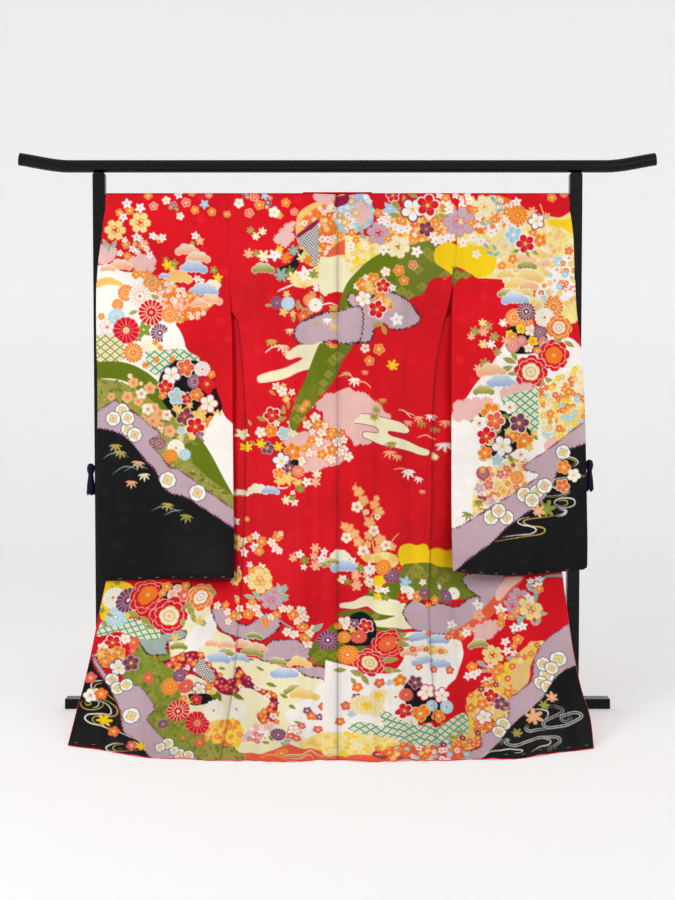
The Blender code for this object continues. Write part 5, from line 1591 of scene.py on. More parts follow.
BODY = """
patch pale_yellow: -48 202, -21 184, 20 177, 70 180, 106 187, 105 279, 19 276, -9 279, -43 284, -21 248,
 -67 261, -104 268, -119 252
mass pale_yellow/cream/honey/white/pale_yellow 0.016 8 plum/star/round 0.0
star olive/honey: -11 198 8.6, -28 237 10, 2 262 10, 46 215 8.5, 71 243 10
patch honey: -115 103, -105 62, -64 34, -6 19, 20 13, 20 137, -17 159, -39 190, -51 202, -79 205,
 -107 149
mass orange/honey/coral/white/peach/white 0.017 9 plum/star/cherry 0.05: -109 93, -79 62, -44 41, -6 31,
 -6 128, -51 190, -54 128
patch white: -109 130, -89 118, -55 85, -53 190, -69 208, -84 164, -105 152
lattice black 0.010 0.0011 0.2
patch wine: -110 121, -56 81, -55 93, -107 130
patch sky: -6 44, 20 21, 45 10, 87 16, 96 88, 51 114, 20 118, -6 93
mass white/sky/white/lilac/blue 0.016 19 plum/star/round 0.1
patch wine: -6 18, 29 13, 28 34, -6 46
plum honey/orange/white: 20 88 12, 5 69 9, 50 62 12, 38 31 9
patch coral: -39 190, -17 162, 5 142, 26 137, 61 149, 70 165, 51 170, 20 174, -17 183
ground
kanoko pink: -40 19 18, -53 16 13, -26 29 12, -19 13 13
kanoko pink: -160 133 14, -145 118 16, -133 103 14, -144 142 14, -130 128 14, -121 93 7.6
plum plum/lilac/white: -250 9 12, -190 34 11
plum coral/white/honey: -227 18 13, -241 62 13, -118 59 11
star sky/white: -198 15 13
plum orange/honey/cream: -213 40 14, -141 34 13, -158 69 10, -301 65 10, -245 18 5, -183 21 5.6
plum white/cream/honey: -269 35 14, -173 60 16
star honey/white: -193 46 6.6
maple olive/honey: -238 111 12 10
maple cream/white: -224 127 13 40, -205 114 13 10
maple peach/cream: -243 175 16 10
maple olive/honey: -222 174 12 50
maple cream/peach: -202 183 21 30
star white/peach: -172 178 19, -162 171 13
maple yellow/honey: -158 162 12 20
patch black: -160 212, -129 199, -110 174, -98 162, -92 174, -109 190, -105 205, -124 230, -144 234
maple orange/white: -142 187 19 20
maple sage/olive: -119 168 18 -10, -155 234 24 30
maple moss/olive: -130 223 16 0
maple pale_yellow/white: -119 242 22 20, -96 187 17 10
maple orange/yellow: -81 193 16 40
star white/honey: -88 230 24
maple leaf/honey: -66 233 16 10
pine olive/white: -203 215 31
twig white: -163 277 1.5, -150 270 2, -129 262 2.5, -119 258 1.5
twig white: -41 314 1.8, -21 310 2, -3 315 1.5
mum plum/lilac/white: -165 308 17
leaf olive/cream: -188 315 10 0, -107 315 15 90, -97 323 10 60, -67 283 11 30, -43 298 11 70,
 -83 327 10 20, -74 336 9 0, -119 349 13 90
star honey/cream: -139 284 12, -147 333 15, -121 338 11
mum orange/cream/honey: -75 301 18
mum sky/white/white: -135 310 19
mum white/cream/coral: -60 315 19
plum coral/orange/cream: -93 345 16
star white/cream: -58 271 10
patch orange: 128 55, 179 46, 232 46, 269 27, 323 43, 327 134, 269 143, 233 142, 196 168, 159 159,
 128 122
mass orange/honey/coral/white/peach/white/yellow 0.016 10 plum/star/cherry 0.0
patch cream: -47 183, 33 187, 73 187, 128 159, 160 183, 114 178, 70 228, 38 279, -2 279, -48 279
mass pale_yellow/cream/honey/white/yellow 0.015 11 plum/star/round 0.0: 20 124, 128 133, 168 181,
 114 183, 65 228, 25 215
patch green: 6 305, 24 259, 52 224, 86 192, 128 168, 169 150, 196 159, 177 200, 168 259, 169 323,
 128 323, 69 341, 34 351, 6 345
patch moss: 169 159, 223 143, 269 143, 292 211, 317 234, 317 231, 260 243, 242 265, 233 284, 192 299,
 169 323, 159 277, 159 205
hatch olive 0.0045 0.0004 0.6
nest gold: 245 170 16, 219 217 15, 259 184 14, 195 287 14, 293 233 14, 230 264 14, 173 277 14
patch yellow: 268 158, 292 143, 326 152, 327 207, 316 231, 292 215, 268 199, 263 175
patch moss: 315 206, 342 226, 365 232, 338 241, 315 256
tied-patch lilac/black: 26 301, 38 283, 69 305, 127 277, 159 286, 191 304, 214 332, 225 352, 204 371,
 168 380, 141 376, 128 363, 100 377, 96 394, 86 413, 55 417, 34 423, 6 414, -19 408, -69 419, -105 395,
 -105 371, -74 349, -33 336, -2 336, 47 336
star white/lilac: 161 354 20
maple gold/honey: 24 336 15 0, 53 389 16 10, -2 366 15 -10, 6 395 17 10, -10 326 15 0
bamboo gold: 24 335 18 0
star sky/white: 143 50 23
leaf olive/honey: 158 38 20 50, 157 68 18 10, 183 27 16 80, 292 52 15 -40, 286 69 15 10, 271 75 14 60,
 233 91 14 0, 206 13 15 20
plum white/plum/honey: 205 53 34
plum scarlet/white/honey: 246 41 33, 151 13 20
plum plum/honey/orange: 242 106 24
tied-flower lilac/rose: 112 118 33
tied-flower lilac/rose: 328 85 42
tied-flower cream/honey: 165 155 33
leaf sage/cream: 63 109 15 60, 69 128 14 20, 71 93 14 -40
star white/coral: 158 100 15, 173 109 15, 191 105 15, 137 91 14, 126 164 17, 216 168 18, 296 29 16,
 305 52 15, 269 139 16, 287 134 16, 310 130 15, 35 150 15, 260 125 13, 323 13 12, 278 13 12, 119 83 14,
 132 77 13
plum orange/honey/cream: 296 21 12, 38 116 12, 178 84 12, 269 93 13, 205 137 12, 111 62 12, 138 133 11,
 7 124 11, 51 137 11
kanoko pink: 62 46 15, 76 63 16, 65 83 14
plum white/coral/honey: 131 224 15
plum orange/honey/cream: 167 220 16, 181 248 14
plum coral/cream/honey: 206 205 13
star white/coral: 52 264 11, 150 268 12, 77 239 10, 51 369 12
plum orange/honey/cream: 68 259 19, 98 243 18, 118 295 17, 135 314 18, 64 349 13, 110 277 13
star honey/cream: 89 270 18, 137 305 14, 83 255 12
plum scarlet/white/honey: 124 262 21, 108 326 27
plum white/coral/honey: 71 298 24, 60 336 15
leaf olive/honey: 114 364 13 30, 127 382 15 70, 105 369 13 0
plum white/coral/coral: 75 433 14
plum orange/honey/cream: 113 435 16, 87 467 14, -11 433 13
maple yellow/honey: 149 481 18 20
plum coral/cream/honey: -29 423 13
bamboo cream: -28 463 22 0
plum white/coral/honey: -67 526 12, -73 587 11, -82 570 9
plum orange/honey/cream: -51 514 12, -78 581 13, -96 622 11, -17 445 12
bamboo olive: 23 497 15 0, -7 482 15 0
bamboo peach: 75 494 13 8
bamboo white: 46 517 20 4
twig peach: 6 509 1.3, 28 500 1.8, 42 513 1.3
twig peach: 60 526 1.3, 73 525 1.8, 89 538 1.3
tied-patch lilac/black: -116 397, -113 379, -95 360, -64 349, -31 336, 6 332, 64 323, 63 405, 38 417,
 7 419, -4 410, -35 414, -65 423, -94 422, -112 407
bamboo gold: -9 335 19 0, -54 360 15 10
bamboo white: -28 351 17 0
bamboo honey: -7 367 20 8
bamboo gold: -180 408 18 0
bamboo cream: -149 423 21 4, -135 439 18 10, -130 379 16 0, -34 478 26 6
bamboo peach: -138 427 13 20
twig peach: -195 442 1.3, -174 429 1.7, -156 432 1.3
star cream/coral: -167 537 14, -124 553 12
maple honey/coral: -140 573 14 20, -149 537 11 50
plum white/coral/honey: -151 550 16
leaf olive/honey: -178 554 11 40, -134 588 11 90, -152 606 12 10
patch cream/pink: -218 516, -215 509, -193 500, -142 486, -112 473, -96 463, -97 457, -112 458,
 -130 463, -142 457, -138 447, -115 430, -97 423, -68 423, -43 416, -46 442, -61 489, -76 489, -105 497,
 -131 510, -164 520, -200 526, -215 525
tied-patch pink: -46 594, -41 584, -32 575, -17 566, -3 560, 10 553, 28 548, 49 550, 68 553, 85 562,
 96 572, 112 582, 122 593, 130 606, 144 615, 142 625, 133 635, 111 660, 96 687, 74 696, 57 694, 47 699,
 31 675, 3 662, -18 647, -32 635, -14 621, -28 610, -45 604
tied-patch pink: -151 687, -130 672, -105 663, -86 659, -47 672, 3 697, 18 730, 0 750, -32 756, -47 765,
 -75 769, -97 771, -104 749, -130 712
patch green: -48 419, -32 420, -19 432, 10 435, 0 467, -21 489, -35 507, -47 529, -68 556, -93 565,
 -103 554, -90 523, -72 475, -57 438
patch moss: 3 420, 39 427, 26 450, 11 472, 0 501, -17 531, -45 563, -75 596, -95 624, -114 659,
 -125 649, -134 635, -123 603, -116 581, -97 563, -68 556, -47 529, -29 497, -11 464, 3 439
nest gold: -11 466 16, 0 454 15, -25 504 12, -38 529 12, -46 551 12, -68 573 12, -105 573 15,
 -110 603 15, -90 603 12, -110 628 16
patch cream/wine: 9 622, 17 616, 50 612, 93 613, 141 626, 174 637, 194 653, 193 663, 177 665, 142 659,
 138 665, 151 674, 185 684, 222 702, 248 712, 252 721, 244 728, 222 725, 196 715, 159 706, 114 694,
 86 682, 70 675, 68 666, 74 660, 104 663, 112 659, 106 649, 89 643, 60 638, 32 635, 16 632
patch cream/honey: 259 720, 268 730, 265 740, 258 736
bamboo gold: -180 411 18 0, 108 590 15 5, 97 613 14 0, 146 688 15 0, 123 570 15 0
bamboo white: 46 514 19 0, 197 765 18 10
twig white: -196 444 1.1, -179 430 1.5, -159 423 1.1
twig peach: 4 510 1.1, 20 504 1.5, 39 509 1.1
twig peach: 31 529 1.1, 60 523 1.5, 79 529 1.5, 89 540 1.1
twig white: 166 601 1.1, 181 604 1.5, 200 622 1.1
plum scarlet/white/honey: -178 616 24
leaf olive/honey: -206 626 15 20, -153 626 15 -20, -147 600 13 80, -231 693 12 30, -240 637 10 60
plum white/coral/honey: -209 663 17, -167 638 10
plum orange/honey/honey: -182 659 18
plum sky/white/honey: -148 665 19
star cream/honey: -124 637 16, -121 663 16, -256 669 17
plum plum/lilac/honey: -191 706 19
maple yellow/honey: -209 696 16 20, -247 706 17 0, -163 703 16 40
patch green: -104 548, -56 531, -56 575, -90 618, -112 657, -130 644, -125 609, -112 582
hatch gold 0.0045 0.0004 0.6
nest gold: -108 596 12, -110 626 13
plum orange/honey/cream: -84 584 11, -95 598 11
patch pink: -47 587, -22 566, 6 548, 41 548, 42 657, 7 657, -22 649, -38 613
kanoko pink: -43 588 16, -22 575 20, -4 600 35, 29 593 39, -22 622 17, 7 640 26
plum white/coral/honey: -60 622 16, -82 641 14, -43 662 15, -51 688 16, 0 684 15, -25 705 15,
 -22 733 15, -77 718 14, -99 741 16, -68 660 11, -34 644 12, -5 653 11, -56 718 11
plum orange/honey/cream: -53 641 15, -17 666 16, -71 684 14, -42 722 15, -2 713 14, -90 706 12,
 -77 696 9
plum orange/honey/white: -121 715 25
plum white/plum/honey: -153 741 26
plum plum/lilac/honey: -129 759 18
mum coral/cream/white: -105 769 16
plum orange/white/honey: -160 775 17
star honey/cream: -134 789 22, -158 796 17, -107 800 15
patch black: -129 740, -107 737, -107 753, -125 749
maple cream/honey: -56 777 15 10, -140 849 16 40
maple peach/cream: -61 797 16 60
star white/coral: -83 797 15, -120 828 9, -115 853 13
maple leaf/honey: -100 817 15 10, -121 842 11 60
pine cream/white: -215 821 30, -258 833 17
pine blue/white: -182 823 24
twig white: -164 814 1.7, -147 815 2.2, -134 812 1.3
star white/coral: -221 949 14, -224 979 15, -255 965 13, -254 995 15, -279 1043 12, -205 1032 14,
 -236 1027 11, -309 1078 14, -274 912 13, -167 980 15
plum orange/honey/cream: -204 963 14, -211 989 13, -162 946 14, -231 1042 11, -238 958 10, -246 904 7
plum white/coral/honey: -178 964 13, -154 939 8.6, -242 1067 13, -158 985 11
tied-flower pale_yellow/orange: -281 971 24, -274 1059 19, -207 1060 33
tied-flower lilac/rose: -170 1106 28
leaf sage/cream: -146 1083 14 -40, -141 1107 14 0, -235 1117 15 10, -212 1119 13 60, -192 1110 10 20,
 -158 1079 10 60
star white/coral: -100 995 14, -42 1004 15, -89 1027 10, -35 986 12
maple peach/cream: -118 1004 14 10, -60 977 15 30, -59 1023 17 20, -64 998 13 50
maple leaf/honey: -87 1011 14 0
pine olive/cream: -17 1016 26
pine blue/white: 8 1027 25
pine cream/white: 3 1002 24
bamboo olive: 108 597 16 10, 100 615 16 -10, 144 690 18 0, 231 634 18 8, 264 652 14 8
bamboo peach: 193 631 17 10, 221 619 18 0, 142 713 21 4, 162 725 17 10, 285 632 18 8, 232 823 12 10
bamboo white: 254 615 17 8, 282 694 23 0, 192 767 24 0, 223 787 16 20
twig peach: 167 600 1.4, 186 607 1.8, 209 616 1.4
twig peach: 152 764 1.4, 177 762 1.8, 195 772 1.4
twig peach: 219 677 1.4, 242 671 1.9, 263 683 1.4
plum orange/honey/cream: -2 669 15, -14 708 17, -10 657 10
plum white/coral/honey: 0 688 16, 17 709 14, 29 728 15, 7 716 14, 17 682 12, -15 736 14
plum coral/cream/honey: 13 662 12
twig peach: 101 1001 2.3, 96 970 2.3, 86 924 1.8, 72 892 1.8, 61 851 1.8, 49 814 1.4, 48 800 1.4
twig peach: 76 905 1.8, 93 887 1.8, 103 859 1.4, 109 842 1.4
twig peach: 87 988 1.8, 61 966 1.8, 33 938 1.8, 10 905 1.4
twig peach: 101 996 1.8, 132 980 1.8, 151 952 1.4, 163 940 1.4
plum peach/orange/honey: 57 825 15, 69 848 16, 100 859 15, 112 879 16, 30 924 16, 45 938 15, 56 960 15,
 114 954 17, 86 907 17, 84 942 15, 110 982 16, 19 917 12, 106 842 10, 80 967 12, 47 814 8.2, 146 976 11
plum white/honey/coral: 52 865 16, 98 929 16, 24 948 15, 130 970 15, 69 985 17, 77 879 8.2, 108 892 9
patch yellow: 160 989, 169 974, 193 968, 216 973, 235 971, 246 982, 245 1022, 206 1022, 174 1030,
 163 1013
patch yellow: 245 988, 280 987, 311 997, 333 999, 354 1050, 294 1037, 244 1035
patch moss: 165 1035, 183 1022, 244 1022, 294 1037, 359 1050, 396 1086, 403 1125, 415 1144, 355 1138,
 326 1119, 232 1128, 174 1108, 160 1072
hatch olive 0.0045 0.0004 0.6
nest gold: 212 1039 19, 191 1052 17, 226 1054 16, 274 1052 17, 329 1069 17, 308 1081 17
mum plum/lilac/honey: 144 1052 21
mum orange/honey/honey: 125 1026 21
patch yellow: 92 1060, 111 1047, 128 1066, 109 1079
patch pale_yellow: 60 1001, 92 992, 132 988, 161 1008, 151 1030, 114 1014, 79 1014
star honey/yellow: 78 1001 15, 109 1005 15, 147 1007 15
star white/coral: 39 1010 13, 82 1036 16, 94 1032 13, 65 1032 12, 114 1094 15, 87 1069 15, 13 1058 14
star peach/cream: 50 1024 13, 49 1050 14, 50 1073 15, 76 1050 13
pine cream/white: 7 994 27
pine blue/white: 18 1024 36
pine olive/cream: -12 1011 18
star sky/white: 180 1070 21
patch cream: -469 1249, -438 1163, -374 1152, -329 1226, -280 1250, -257 1300, -195 1309, -105 1331,
 -25 1359, 66 1353, 62 1591, -238 1607, -362 1536, -436 1401
patch white: -420 1262, -352 1180, -333 1226, -366 1279, -406 1310
patch white: -134 1462, -70 1406, -24 1353, 66 1331, 184 1387, 177 1563, -24 1536, -90 1533
patch leaf: -582 1373, -558 1356, -537 1369, -530 1414, -563 1423
patch leaf: -496 1296, -466 1298, -441 1360, -413 1442, -429 1463, -468 1403
patch leaf: -556 1285, -505 1313, -482 1342, -458 1382, -434 1434, -400 1483, -343 1536, -257 1586,
 -219 1623, -412 1627, -455 1572, -498 1519, -526 1439, -556 1370
mass olive/moss/leaf/olive 0.012 41 round/leaf 0.15
patch yellow: -669 1121, -606 1122, -563 1181, -580 1216, -604 1229, -643 1232, -660 1206
mass olive/honey/yellow/leaf 0.016 42 leaf/star 0.3
tied-patch sage/black: -551 1275, -509 1265, -475 1250, -450 1241, -420 1240, -424 1262, -463 1271,
 -471 1293, -467 1312, -494 1318, -518 1319
tied-patch lilac/black: -354 1169, -328 1159, -301 1175, -261 1204, -231 1206, -209 1182, -200 1166,
 -165 1167, -153 1194, -170 1225, -198 1246, -239 1251, -269 1244, -305 1232, -331 1210
tied-patch lilac/black: -192 1268, -164 1246, -122 1240, -79 1260, -70 1278, -84 1302, -125 1300,
 -172 1309, -200 1305
tied-patch lilac/black: -106 1328, -71 1318, -38 1321, -15 1343, -25 1371, -41 1353, -78 1347
patch green: -76 1282, -63 1244, -34 1213, 11 1179, 67 1190, 66 1288, 2 1309, -52 1312
nest gold: -45 1282 18, -7 1288 16, -62 1299 12
hatch moss 0.0045 0.0004 0.6
pine peach/white: -336 1271 26, -297 1273 28, -244 1269 33, -206 1272 26
pine olive/cream: -296 1298 28, -221 1290 31
pine blue/white: -318 1316 39, -253 1312 28
pine olive/cream: -152 1309 26, -110 1393 28
pine honey/cream: -97 1310 32, -82 1406 38
pine blue/white: -135 1344 38
pine leaf/cream: -435 1287 26, -217 1238 21
leaf leaf/olive: -200 1336 11 20, -112 1446 12 40, -305 1347 11 10, -259 1350 11 50, -223 1312 9 10,
 -169 1381 15 10, -135 1409 13 30
mass wine/coral/orange/scarlet/white/orange 0.017 43 plum/cherry/star 0.0: -481 1337, -417 1306,
 -369 1307, -324 1354, -274 1385, -255 1338, -211 1389, -158 1406, -151 1453, -159 1508, -201 1481,
 -168 1430, -234 1400, -260 1427, -302 1423, -325 1403, -359 1384, -431 1360
patch white: -374 1319, -330 1360, -332 1388, -364 1378, -381 1357
lattice black 0.010 0.0011 0.3
patch honey: -346 1508, -246 1502, -239 1579, -286 1572, -328 1567
mass orange/honey/yellow/orange 0.014 45 plum/star 0.0
patch pink: -204 1504, -160 1492, -172 1533, -206 1561, -237 1557
mass white/pink/rose/sky 0.014 46 round/plum 0.0
plum white/coral/honey: -304 1171 14, -296 1200 13, -262 1157 14, -217 1150 15, -208 1169 12,
 -146 1145 14, -126 1147 13, -95 1154 16, -87 1173 15, -103 1187 13, -132 1215 15, -111 1226 15,
 -73 1218 14, -77 1251 15, -343 1156 13, -233 1145 12, -176 1175 12, -263 1182 11, -62 1201 11
plum orange/honey/cream: -278 1181 16, -236 1172 16, -191 1190 13, -315 1152 13, -161 1165 12,
 -116 1165 16, -90 1203 15, -84 1234 14, -271 1131 12, -226 1134 11
tied-flower pale_yellow/orange: -208 1070 37, -294 1071 22
tied-flower lilac/rose: -177 1123 31
leaf sage/cream: -145 1091 17 -30, -144 1117 16 0, -234 1119 16 10, -215 1111 16 40, -53 1201 21 -40,
 -277 1124 13 20
twig sage: -155 1178 1.9, -136 1193 2.3, -113 1207 1.9
mum plum/lilac/white: -25 1240 30
plum scarlet/white/honey: -616 1294 26
plum coral/rose/honey: -560 1288 18, -560 1313 11
plum white/cream/honey: -584 1278 16, -641 1309 14
plum orange/honey/cream: -630 1351 19, -598 1322 20, -638 1325 14, -613 1340 12
star honey/cream: -645 1331 16, -617 1320 12, -587 1337 12
plum white/plum/honey: -592 1365 26
plum plum/lilac/yellow: -560 1350 25
patch cream: -659 1254, -648 1229, -604 1222, -560 1215, -520 1228, -489 1246, -495 1273, -542 1276,
 -601 1259, -656 1278
lattice teal 0.027 0.0032 0.35 coral
mum sky/white/white: -614 1216 28
mum white/cream/coral: -635 1166 26
mum plum/lilac/white: -593 1169 31
peony scarlet/cream/orange: -548 1152 46
patch black: -524 1125, -479 1106, -433 1112, -416 1162, -464 1171, -509 1153
plum coral/rose/white: -452 1141 22, -469 1156 15, -431 1149 15
mum cream/rose/coral: -485 1143 14, -476 1124 13
plum orange/honey/cream: -505 1122 15, -457 1112 13, -512 1144 11, -431 1122 12
peony scarlet/white/cream: -470 1199 52
peony orange/white/white: -402 1141 41
leaf olive/cream: -413 1181 21 40, -431 1168 18 -30, -400 1200 19 60, -531 1221 21 40, -517 1238 18 0,
 -567 1203 19 20, -641 1237 16 60, -429 1213 16 80, -373 1119 18 20, -631 1210 14 20
maple leaf/cream: -373 1213 12 20
maple honey/cream: -383 1209 17 0, -448 1263 16 20
mum orange/honey/honey: -447 1406 25, -190 1198 9
mum coral/rose/cream: -404 1407 21
mum plum/lilac/white: -425 1375 19, -454 1514 14, -145 1527 20
plum white/plum/honey: -366 1414 21
patch black: -396 1432, -355 1426, -312 1423, -322 1445, -383 1463
plum scarlet/rose/honey: -372 1445 16
star honey/yellow: -329 1419 15, -393 1456 12
plum orange/honey/cream: -341 1404 12, -407 1442 11
mum scarlet/cream/white: -418 1478 31
rose-mum scarlet/white/orange: -362 1513 35
mum white/cream/orange: -319 1472 31, -253 1468 26
leaf moss/olive: -308 1432 18 60, -252 1431 18 20, -463 1475 14 80, -432 1444 11 20, -322 1432 14 20
plum coral/rose/honey: -507 1389 15, -348 1570 14, -275 1577 12, -396 1560 10
star leaf/olive: -402 1548 20, -468 1454 14, -492 1416 12, -518 1362 11, -440 1538 13
plum white/rose/honey: -106 1518 18
plum coral/rose/cream: -114 1540 13, -88 1499 11, -100 1546 12, -48 1509 13, -37 1439 12, -6 1493 11
plum plum/lilac/white: -75 1452 12, -45 1470 11, -272 1601 10
plum orange/coral/cream: -64 1468 13, -12 1459 13
plum sage/white/honey: -125 1558 15
leaf leaf/olive: -175 1557 11 20, -163 1543 10 60, -98 1492 10 10, -3 1402 11 60
patch pale_yellow: -94 1558, -58 1530, -25 1517, 63 1515, 177 1563, 173 1619, 6 1608, -75 1585
mass yellow/pale_yellow/cream/honey 0.015 47 plum/star/round 0.2
patch coral: -237 1604, -174 1591, -130 1565, -96 1577, -66 1577, 6 1595, 104 1602, 105 1640, -108 1632,
 -193 1630
stream white/honey 4 0.9: -185 1605 1, -150 1596 1.2, -125 1605 1, -91 1604 1.2, -67 1586 1, -45 1602 1,
 -5 1614 1
stream white 4 0.9: -129 1614 1, -95 1616 1, -70 1599 1.2, -57 1614 1
plum orange/honey/cream: -134 1591 15
patch olive: -337 1579, -318 1555, -295 1592, -266 1576, -219 1614, -236 1626, -331 1620
mass moss/leaf/olive 0.013 48 leaf 0.1
patch black: -665 1348, -650 1378, -610 1422, -580 1470, -566 1513, -552 1550, -507 1582, -412 1631,
 -714 1664, -713 1571, -693 1400
tied-patch lilac/plum: -666 1332, -631 1376, -602 1416, -576 1429, -535 1414, -497 1447, -482 1475,
 -497 1504, -469 1539, -446 1563, -420 1592, -341 1620, -279 1631, -451 1632, -512 1577, -553 1552,
 -567 1495, -581 1466, -611 1417, -651 1367
tile peach: -604 1401 18 35, -399 1611 15 20
tile honey: -586 1423 19 35, -564 1413 18 30, -539 1501 24 20, -435 1577 17 30, -373 1613 15 20
tile honey: -454 1586 14 20, -415 1598 13 10
stream white 0 1.3: -626 1406 1, -649 1410 1, -655 1425 1, -640 1439 1
stream gold 0 1.4: -627 1413 1, -643 1419 1, -644 1432 1, -627 1445 1
stream gold 0 1.0: -616 1444 1, -601 1451 1, -581 1464 1
stream white 0 1.7: -640 1463 1, -614 1470 1, -598 1483 1, -597 1501 1, -627 1504 1, -652 1508 1,
 -659 1522 1, -644 1536 1, -620 1542 1, -594 1548 1, -564 1557 1, -535 1567 1, -510 1577 1
stream gold 0 1.7: -633 1457 1, -601 1467 1, -581 1482 1, -580 1501 1, -606 1510 1, -633 1513 1,
 -639 1526 1, -627 1538 1, -604 1542 1
stream gold 0 1.3: -671 1467 1, -675 1479 1, -661 1491 1, -640 1492 1, -622 1485 1, -617 1473 1,
 -629 1460 1
stream white 0 1.0: -635 1463 1, -628 1472 1, -632 1483 1, -642 1486 1
stream gold 0 1.3: -666 1472 1, -658 1479 1, -648 1475 1, -655 1469 1
stream white 0 1.5: -554 1591 1, -581 1594 1, -599 1607 1, -595 1619 1, -572 1619 1
stream gold 0 1.4: -550 1592 1, -573 1598 1, -581 1610 1, -565 1616 1, -530 1608 1
plum white/cream/coral: -652 1451 20, -639 1444 14
plum orange/coral/cream: -626 1445 18, -582 1555 18
plum coral/rose/cream: -660 1400 17, -529 1594 16
maple yellow/leaf: -610 1525 24 20, -505 1594 17 0
patch white: -31 1300, 37 1321, 122 1350, 168 1309, 183 1226, 316 1244, 342 1294, 328 1345, 305 1395,
 277 1423, 232 1471, 162 1483, 76 1504, -30 1535
patch red: 389 1318, 360 1326, 326 1370, 280 1416, 301 1481, 335 1478, 344 1432, 377 1407, 401 1367
patch red: 544 1088, 672 1082, 663 1240, 568 1282, 527 1273, 507 1235, 439 1221, 424 1191, 468 1156
patch moss: 165 1033, 364 1049, 397 1074, 378 1093, 422 1146, 338 1140, 273 1138, 227 1117, 173 1086
hatch olive 0.0045 0.0004 0.6
nest gold: 213 1038 19, 195 1054 17, 229 1055 16, 278 1050 17, 309 1083 17, 332 1071 18
patch green: 60 1116, 105 1082, 159 1075, 182 1117, 172 1142, 127 1134
patch green: -5 1166, 19 1151, 81 1150, 157 1166, 148 1181, 103 1188, 171 1210, 153 1223, 104 1209,
 39 1187
nest gold: 101 1165 10
band cream/white: 12 1135 6.2, 48 1134 11, 82 1123 15, 127 1141 22, 171 1157 21
band cream/white: 95 1185 6.2, 126 1191 11, 170 1194 20, 188 1201 13
star honey/cream: 10 1057 13, 83 1067 15
star white/coral: 15 1058 13, 86 1030 18, 84 1066 16, 110 1086 16, 127 1092 12
star peach/cream: 50 1048 15, 51 1079 17
star yellow/honey: 111 1064 20, 107 1107 15
star leaf/honey: 27 1066 12, 61 1030 13, 127 1113 13, 90 1091 11
mum plum/lilac/honey: 144 1052 21
mum orange/honey/honey: 122 1027 20
tied-patch lilac/black: 172 1167, 183 1142, 211 1126, 246 1150, 286 1147, 341 1162, 383 1147, 420 1146,
 397 1188, 351 1225, 310 1237, 263 1237, 215 1221, 188 1198
tied-patch lilac/black: 388 1088, 412 1071, 501 1086, 471 1143, 426 1180, 403 1171, 420 1146, 398 1122
star sky/white: 181 1072 20
mum white/cream/coral: 188 1104 20, 346 1122 18, 175 1091 9
plum scarlet/coral/honey: 171 1119 17, 162 1033 11
plum orange/honey/cream: 214 1114 16, 269 1133 15, 243 1148 11
mum plum/lilac/white: 233 1107 14, 315 1127 22
star white/coral: 230 1075 11, 300 1097 10, 314 1213 18, 404 1166 18
patch coral: 501 1088, 552 1094, 517 1138, 464 1172, 416 1210, 364 1250, 324 1268, 315 1238, 368 1206,
 410 1177, 466 1141
patch pink: 505 1091, 546 1099, 477 1157, 463 1146
kanoko pink: 395 1240 21, 423 1231 23, 444 1224 16, 392 1260 18, 412 1246 21
star peach/coral: 395 1194 20, 360 1231 18, 346 1241 15, 315 1232 13
twig sage: 640 1094 7.5, 600 1100 4.7, 577 1146 5.6, 541 1188 5.5, 509 1219 4.6, 486 1253 3.6
leaf sage/white: 560 1127 18 100, 569 1144 14 20, 570 1203 15 0, 556 1224 16 -60, 540 1228 12 60,
 390 1342 17 40, 393 1363 13 0, 475 1331 18 30, 505 1215 18 70
tied-flower lilac/rose: 525 1162 30
tied-flower lilac/rose: 496 1177 23
tied-flower pale_yellow/orange: 541 1190 34
tied-flower pale_yellow/orange: 423 1315 32
star white/coral: 461 1182 18, 549 1162 14, 581 1131 16, 586 1106 14, 490 1238 16, 511 1238 15,
 464 1200 12, 464 1304 15, 462 1276 15, 413 1348 11, 399 1395 17, 367 1369 18, 350 1373 15, 379 1365 11,
 355 1241 15, 483 1315 12, 414 1388 13, 565 1111 12
plum orange/honey/cream: 459 1196 11, 485 1204 12, 454 1219 13, 496 1275 15, 484 1294 10, 583 1141 11,
 504 1190 9, 428 1365 15, 441 1350 11, 454 1351 11, 363 1347 15, 543 1300 15, 530 1312 13, 408 1359 8.8
pine blue/white: 217 1241 34, 269 1257 34, 221 1318 31, 270 1334 33
pine peach/white: 185 1290 26, 213 1279 26
pine honey/white: 266 1291 31, 242 1277 18
pine olive/cream: 385 1281 29
plum coral/orange/cream: 196 1277 10, 232 1284 8, 212 1334 10, 250 1350 11, 298 1354 13, 300 1249 12,
 315 1235 10, 274 1294 8.8, 240 1235 8
mum white/cream/honey: 322 1276 18
patch black: 2 1182, 59 1156, 94 1178, 102 1203, 98 1240, 71 1259, 19 1254, 1 1218
plum white/scarlet/honey: 19 1188 23
plum scarlet/white/honey: 74 1198 22
mum coral/rose/cream: 55 1231 21
plum plum/lilac/white: 44 1190 13
mum orange/honey/white: 17 1231 18, 2 1197 10
star honey/yellow: 38 1209 12
peony scarlet/cream/coral: 130 1254 43
peony scarlet/white/cream: 82 1309 42
mum orange/honey/white: 26 1285 29
leaf olive/cream: 168 1262 22 20, 167 1235 18 -30, 50 1343 22 30, 69 1361 20 60, 134 1305 22 10,
 132 1336 19 40, 6 1331 19 0, 178 1247 15 0, 41 1366 15 60, 149 1343 15 20
plum coral/rose/honey: 107 1369 15, 21 1440 14
plum orange/coral/cream: 50 1386 14, 6 1487 13
plum sky/white/honey: 132 1374 11, 36 1464 13
plum plum/lilac/white: 47 1415 12
patch black: 178 1378, 209 1381, 236 1408, 252 1444, 278 1478, 229 1504, 196 1486, 174 1464, 165 1402
mum cream/honey/yellow: 60 1437 29, 105 1412 25, 94 1446 24
star yellow/honey: 73 1440 15, 103 1406 14, 117 1481 11
